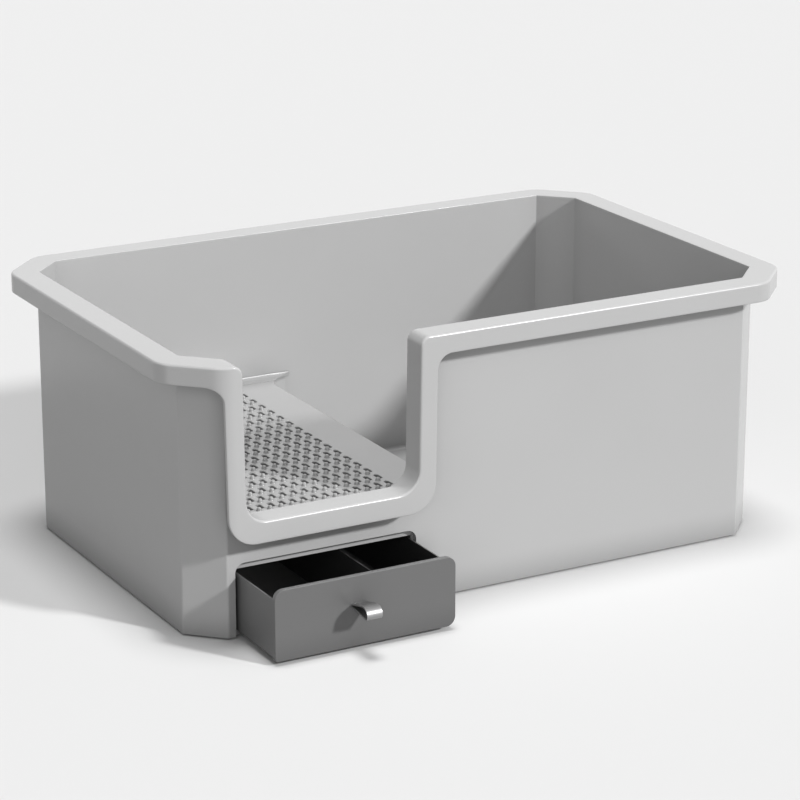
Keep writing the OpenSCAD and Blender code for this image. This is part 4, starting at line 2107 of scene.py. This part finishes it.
@dataclass
class Studio:
    """Floor, lamps, soft surroundings and camera."""

    floor_tone: float = 0.755
    floor_thrown: float = 0.42
    floor_radius: float = 20000.0
    floor_sides: int = 96
    key: float = 2.48
    key_way: Point3 = (-0.65, 1.0, -0.655)
    key_spread: float = 0.09
    overhead: float = 1.7
    overhead_way: Point3 = (0.0, 0.0, -1.0)
    overhead_spread: float = 0.35
    fill: float = 0.95
    fill_way: Point3 = (0.75, 1.0, -0.15)
    fill_spread: float = 1.2
    surround: float = 0.16
    camera_at: Point3 = (-1.29138, -2.33580, 0.98336)
    camera_tilt: float = 72.19
    camera_turn: float = -29.03
    lens: float = 133.1
    sensor: float = 36.0
    sight: float = 60.0

    def floor(self) -> None:
        """Lays a round floor."""
        draft = Draft("studio_floor")
        angles = [math.tau * k / self.floor_sides for k in range(self.floor_sides)]
        radius = self.floor_radius
        draft.cap(draft.ring((radius * math.cos(a), radius * math.sin(a), 0) for a in angles))
        made = draft.build()
        finish = PaleFloor("Pale studio floor", self.floor_tone, self.floor_thrown)
        made.data.materials.append(finish.material())
        made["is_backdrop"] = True

    def lamp(
        self, name: str, energy: float, way: Point3, spread: float, mirrored: bool = True
    ) -> None:
        """Hangs one distant lamp.

        Args:
            name: Name of the lamp.
            energy: Strength of the lamp.
            way: Direction in which its light travels.
            spread: Angle in radians that it fills, which softens its shadows.
            mirrored: Whether glossy surfaces show a highlight from it.
        """
        lamp = bpy.data.lights.new(name, "SUN")
        lamp.energy = energy
        lamp.angle = spread
        hung = bpy.data.objects.new(name, lamp)
        hung.rotation_euler = Vector(way).to_track_quat("-Z", "Y").to_euler()
        hung.visible_glossy = mirrored
        bpy.context.scene.collection.objects.link(hung)

    def surroundings(self) -> None:
        """Sets soft surroundings, which look white where they are seen or mirrored."""
        world = bpy.data.worlds.new("Soft surroundings")
        world.use_nodes = True
        bpy.context.scene.world = world
        tree = world.node_tree
        background = tree.nodes["Background"]
        background.inputs["Color"].default_value = (1, 1, 1, 1)
        strength = tree.nodes.new("ShaderNodeMapRange")
        strength.inputs["To Min"].default_value = self.surround
        strength.inputs["To Max"].default_value = 1.0
        tree.links.new(rays_seen(tree), strength.inputs["Value"])
        tree.links.new(strength.outputs["Result"], background.inputs["Strength"])

    def camera(self) -> None:
        """Sets up the camera."""
        data = bpy.data.cameras.new("Camera")
        data.sensor_width = self.sensor
        data.lens = self.lens
        data.clip_end = self.sight
        made = bpy.data.objects.new("Camera", data)
        made.location = self.camera_at
        made.rotation_euler = (math.radians(self.camera_tilt), 0, math.radians(self.camera_turn))
        bpy.context.scene.collection.objects.link(made)
        bpy.context.scene.camera = made

    def make(self) -> None:
        """Sets up the studio."""
        self.floor()
        self.lamp("Key lamp", self.key, self.key_way, self.key_spread)
        self.lamp("Overhead lamp", self.overhead, self.overhead_way, self.overhead_spread,
                  mirrored=False)
        self.lamp("Fill lamp", self.fill, self.fill_way, self.fill_spread)
        self.surroundings()
        self.camera()
        bpy.context.scene.view_settings.view_transform = "Standard"


def write_sizes() -> None:
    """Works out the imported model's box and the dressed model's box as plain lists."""
    boxes = {"cad": CAD_BOX, "visual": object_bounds()}
    plain = {name: [[float(v) for v in corner] for corner in box] for name, box in boxes.items()}


def main() -> None:
    """Builds the studio and then the litter box, piece by piece."""
    logging.basicConfig(level=logging.INFO, format="%(message)s")
    plan = TubPlan()
    entry = EntryOutline()
    finishes = FinishRack()
    Studio().make()
    Tub(plan, entry).make(finishes)
    SplashRim(plan, entry).make(finishes)
    StepPlate(plan).make(finishes)
    Drawer().make(finishes)
    Underpinnings().make(finishes)
    write_sizes()


if __name__ == "__main__":
    main()
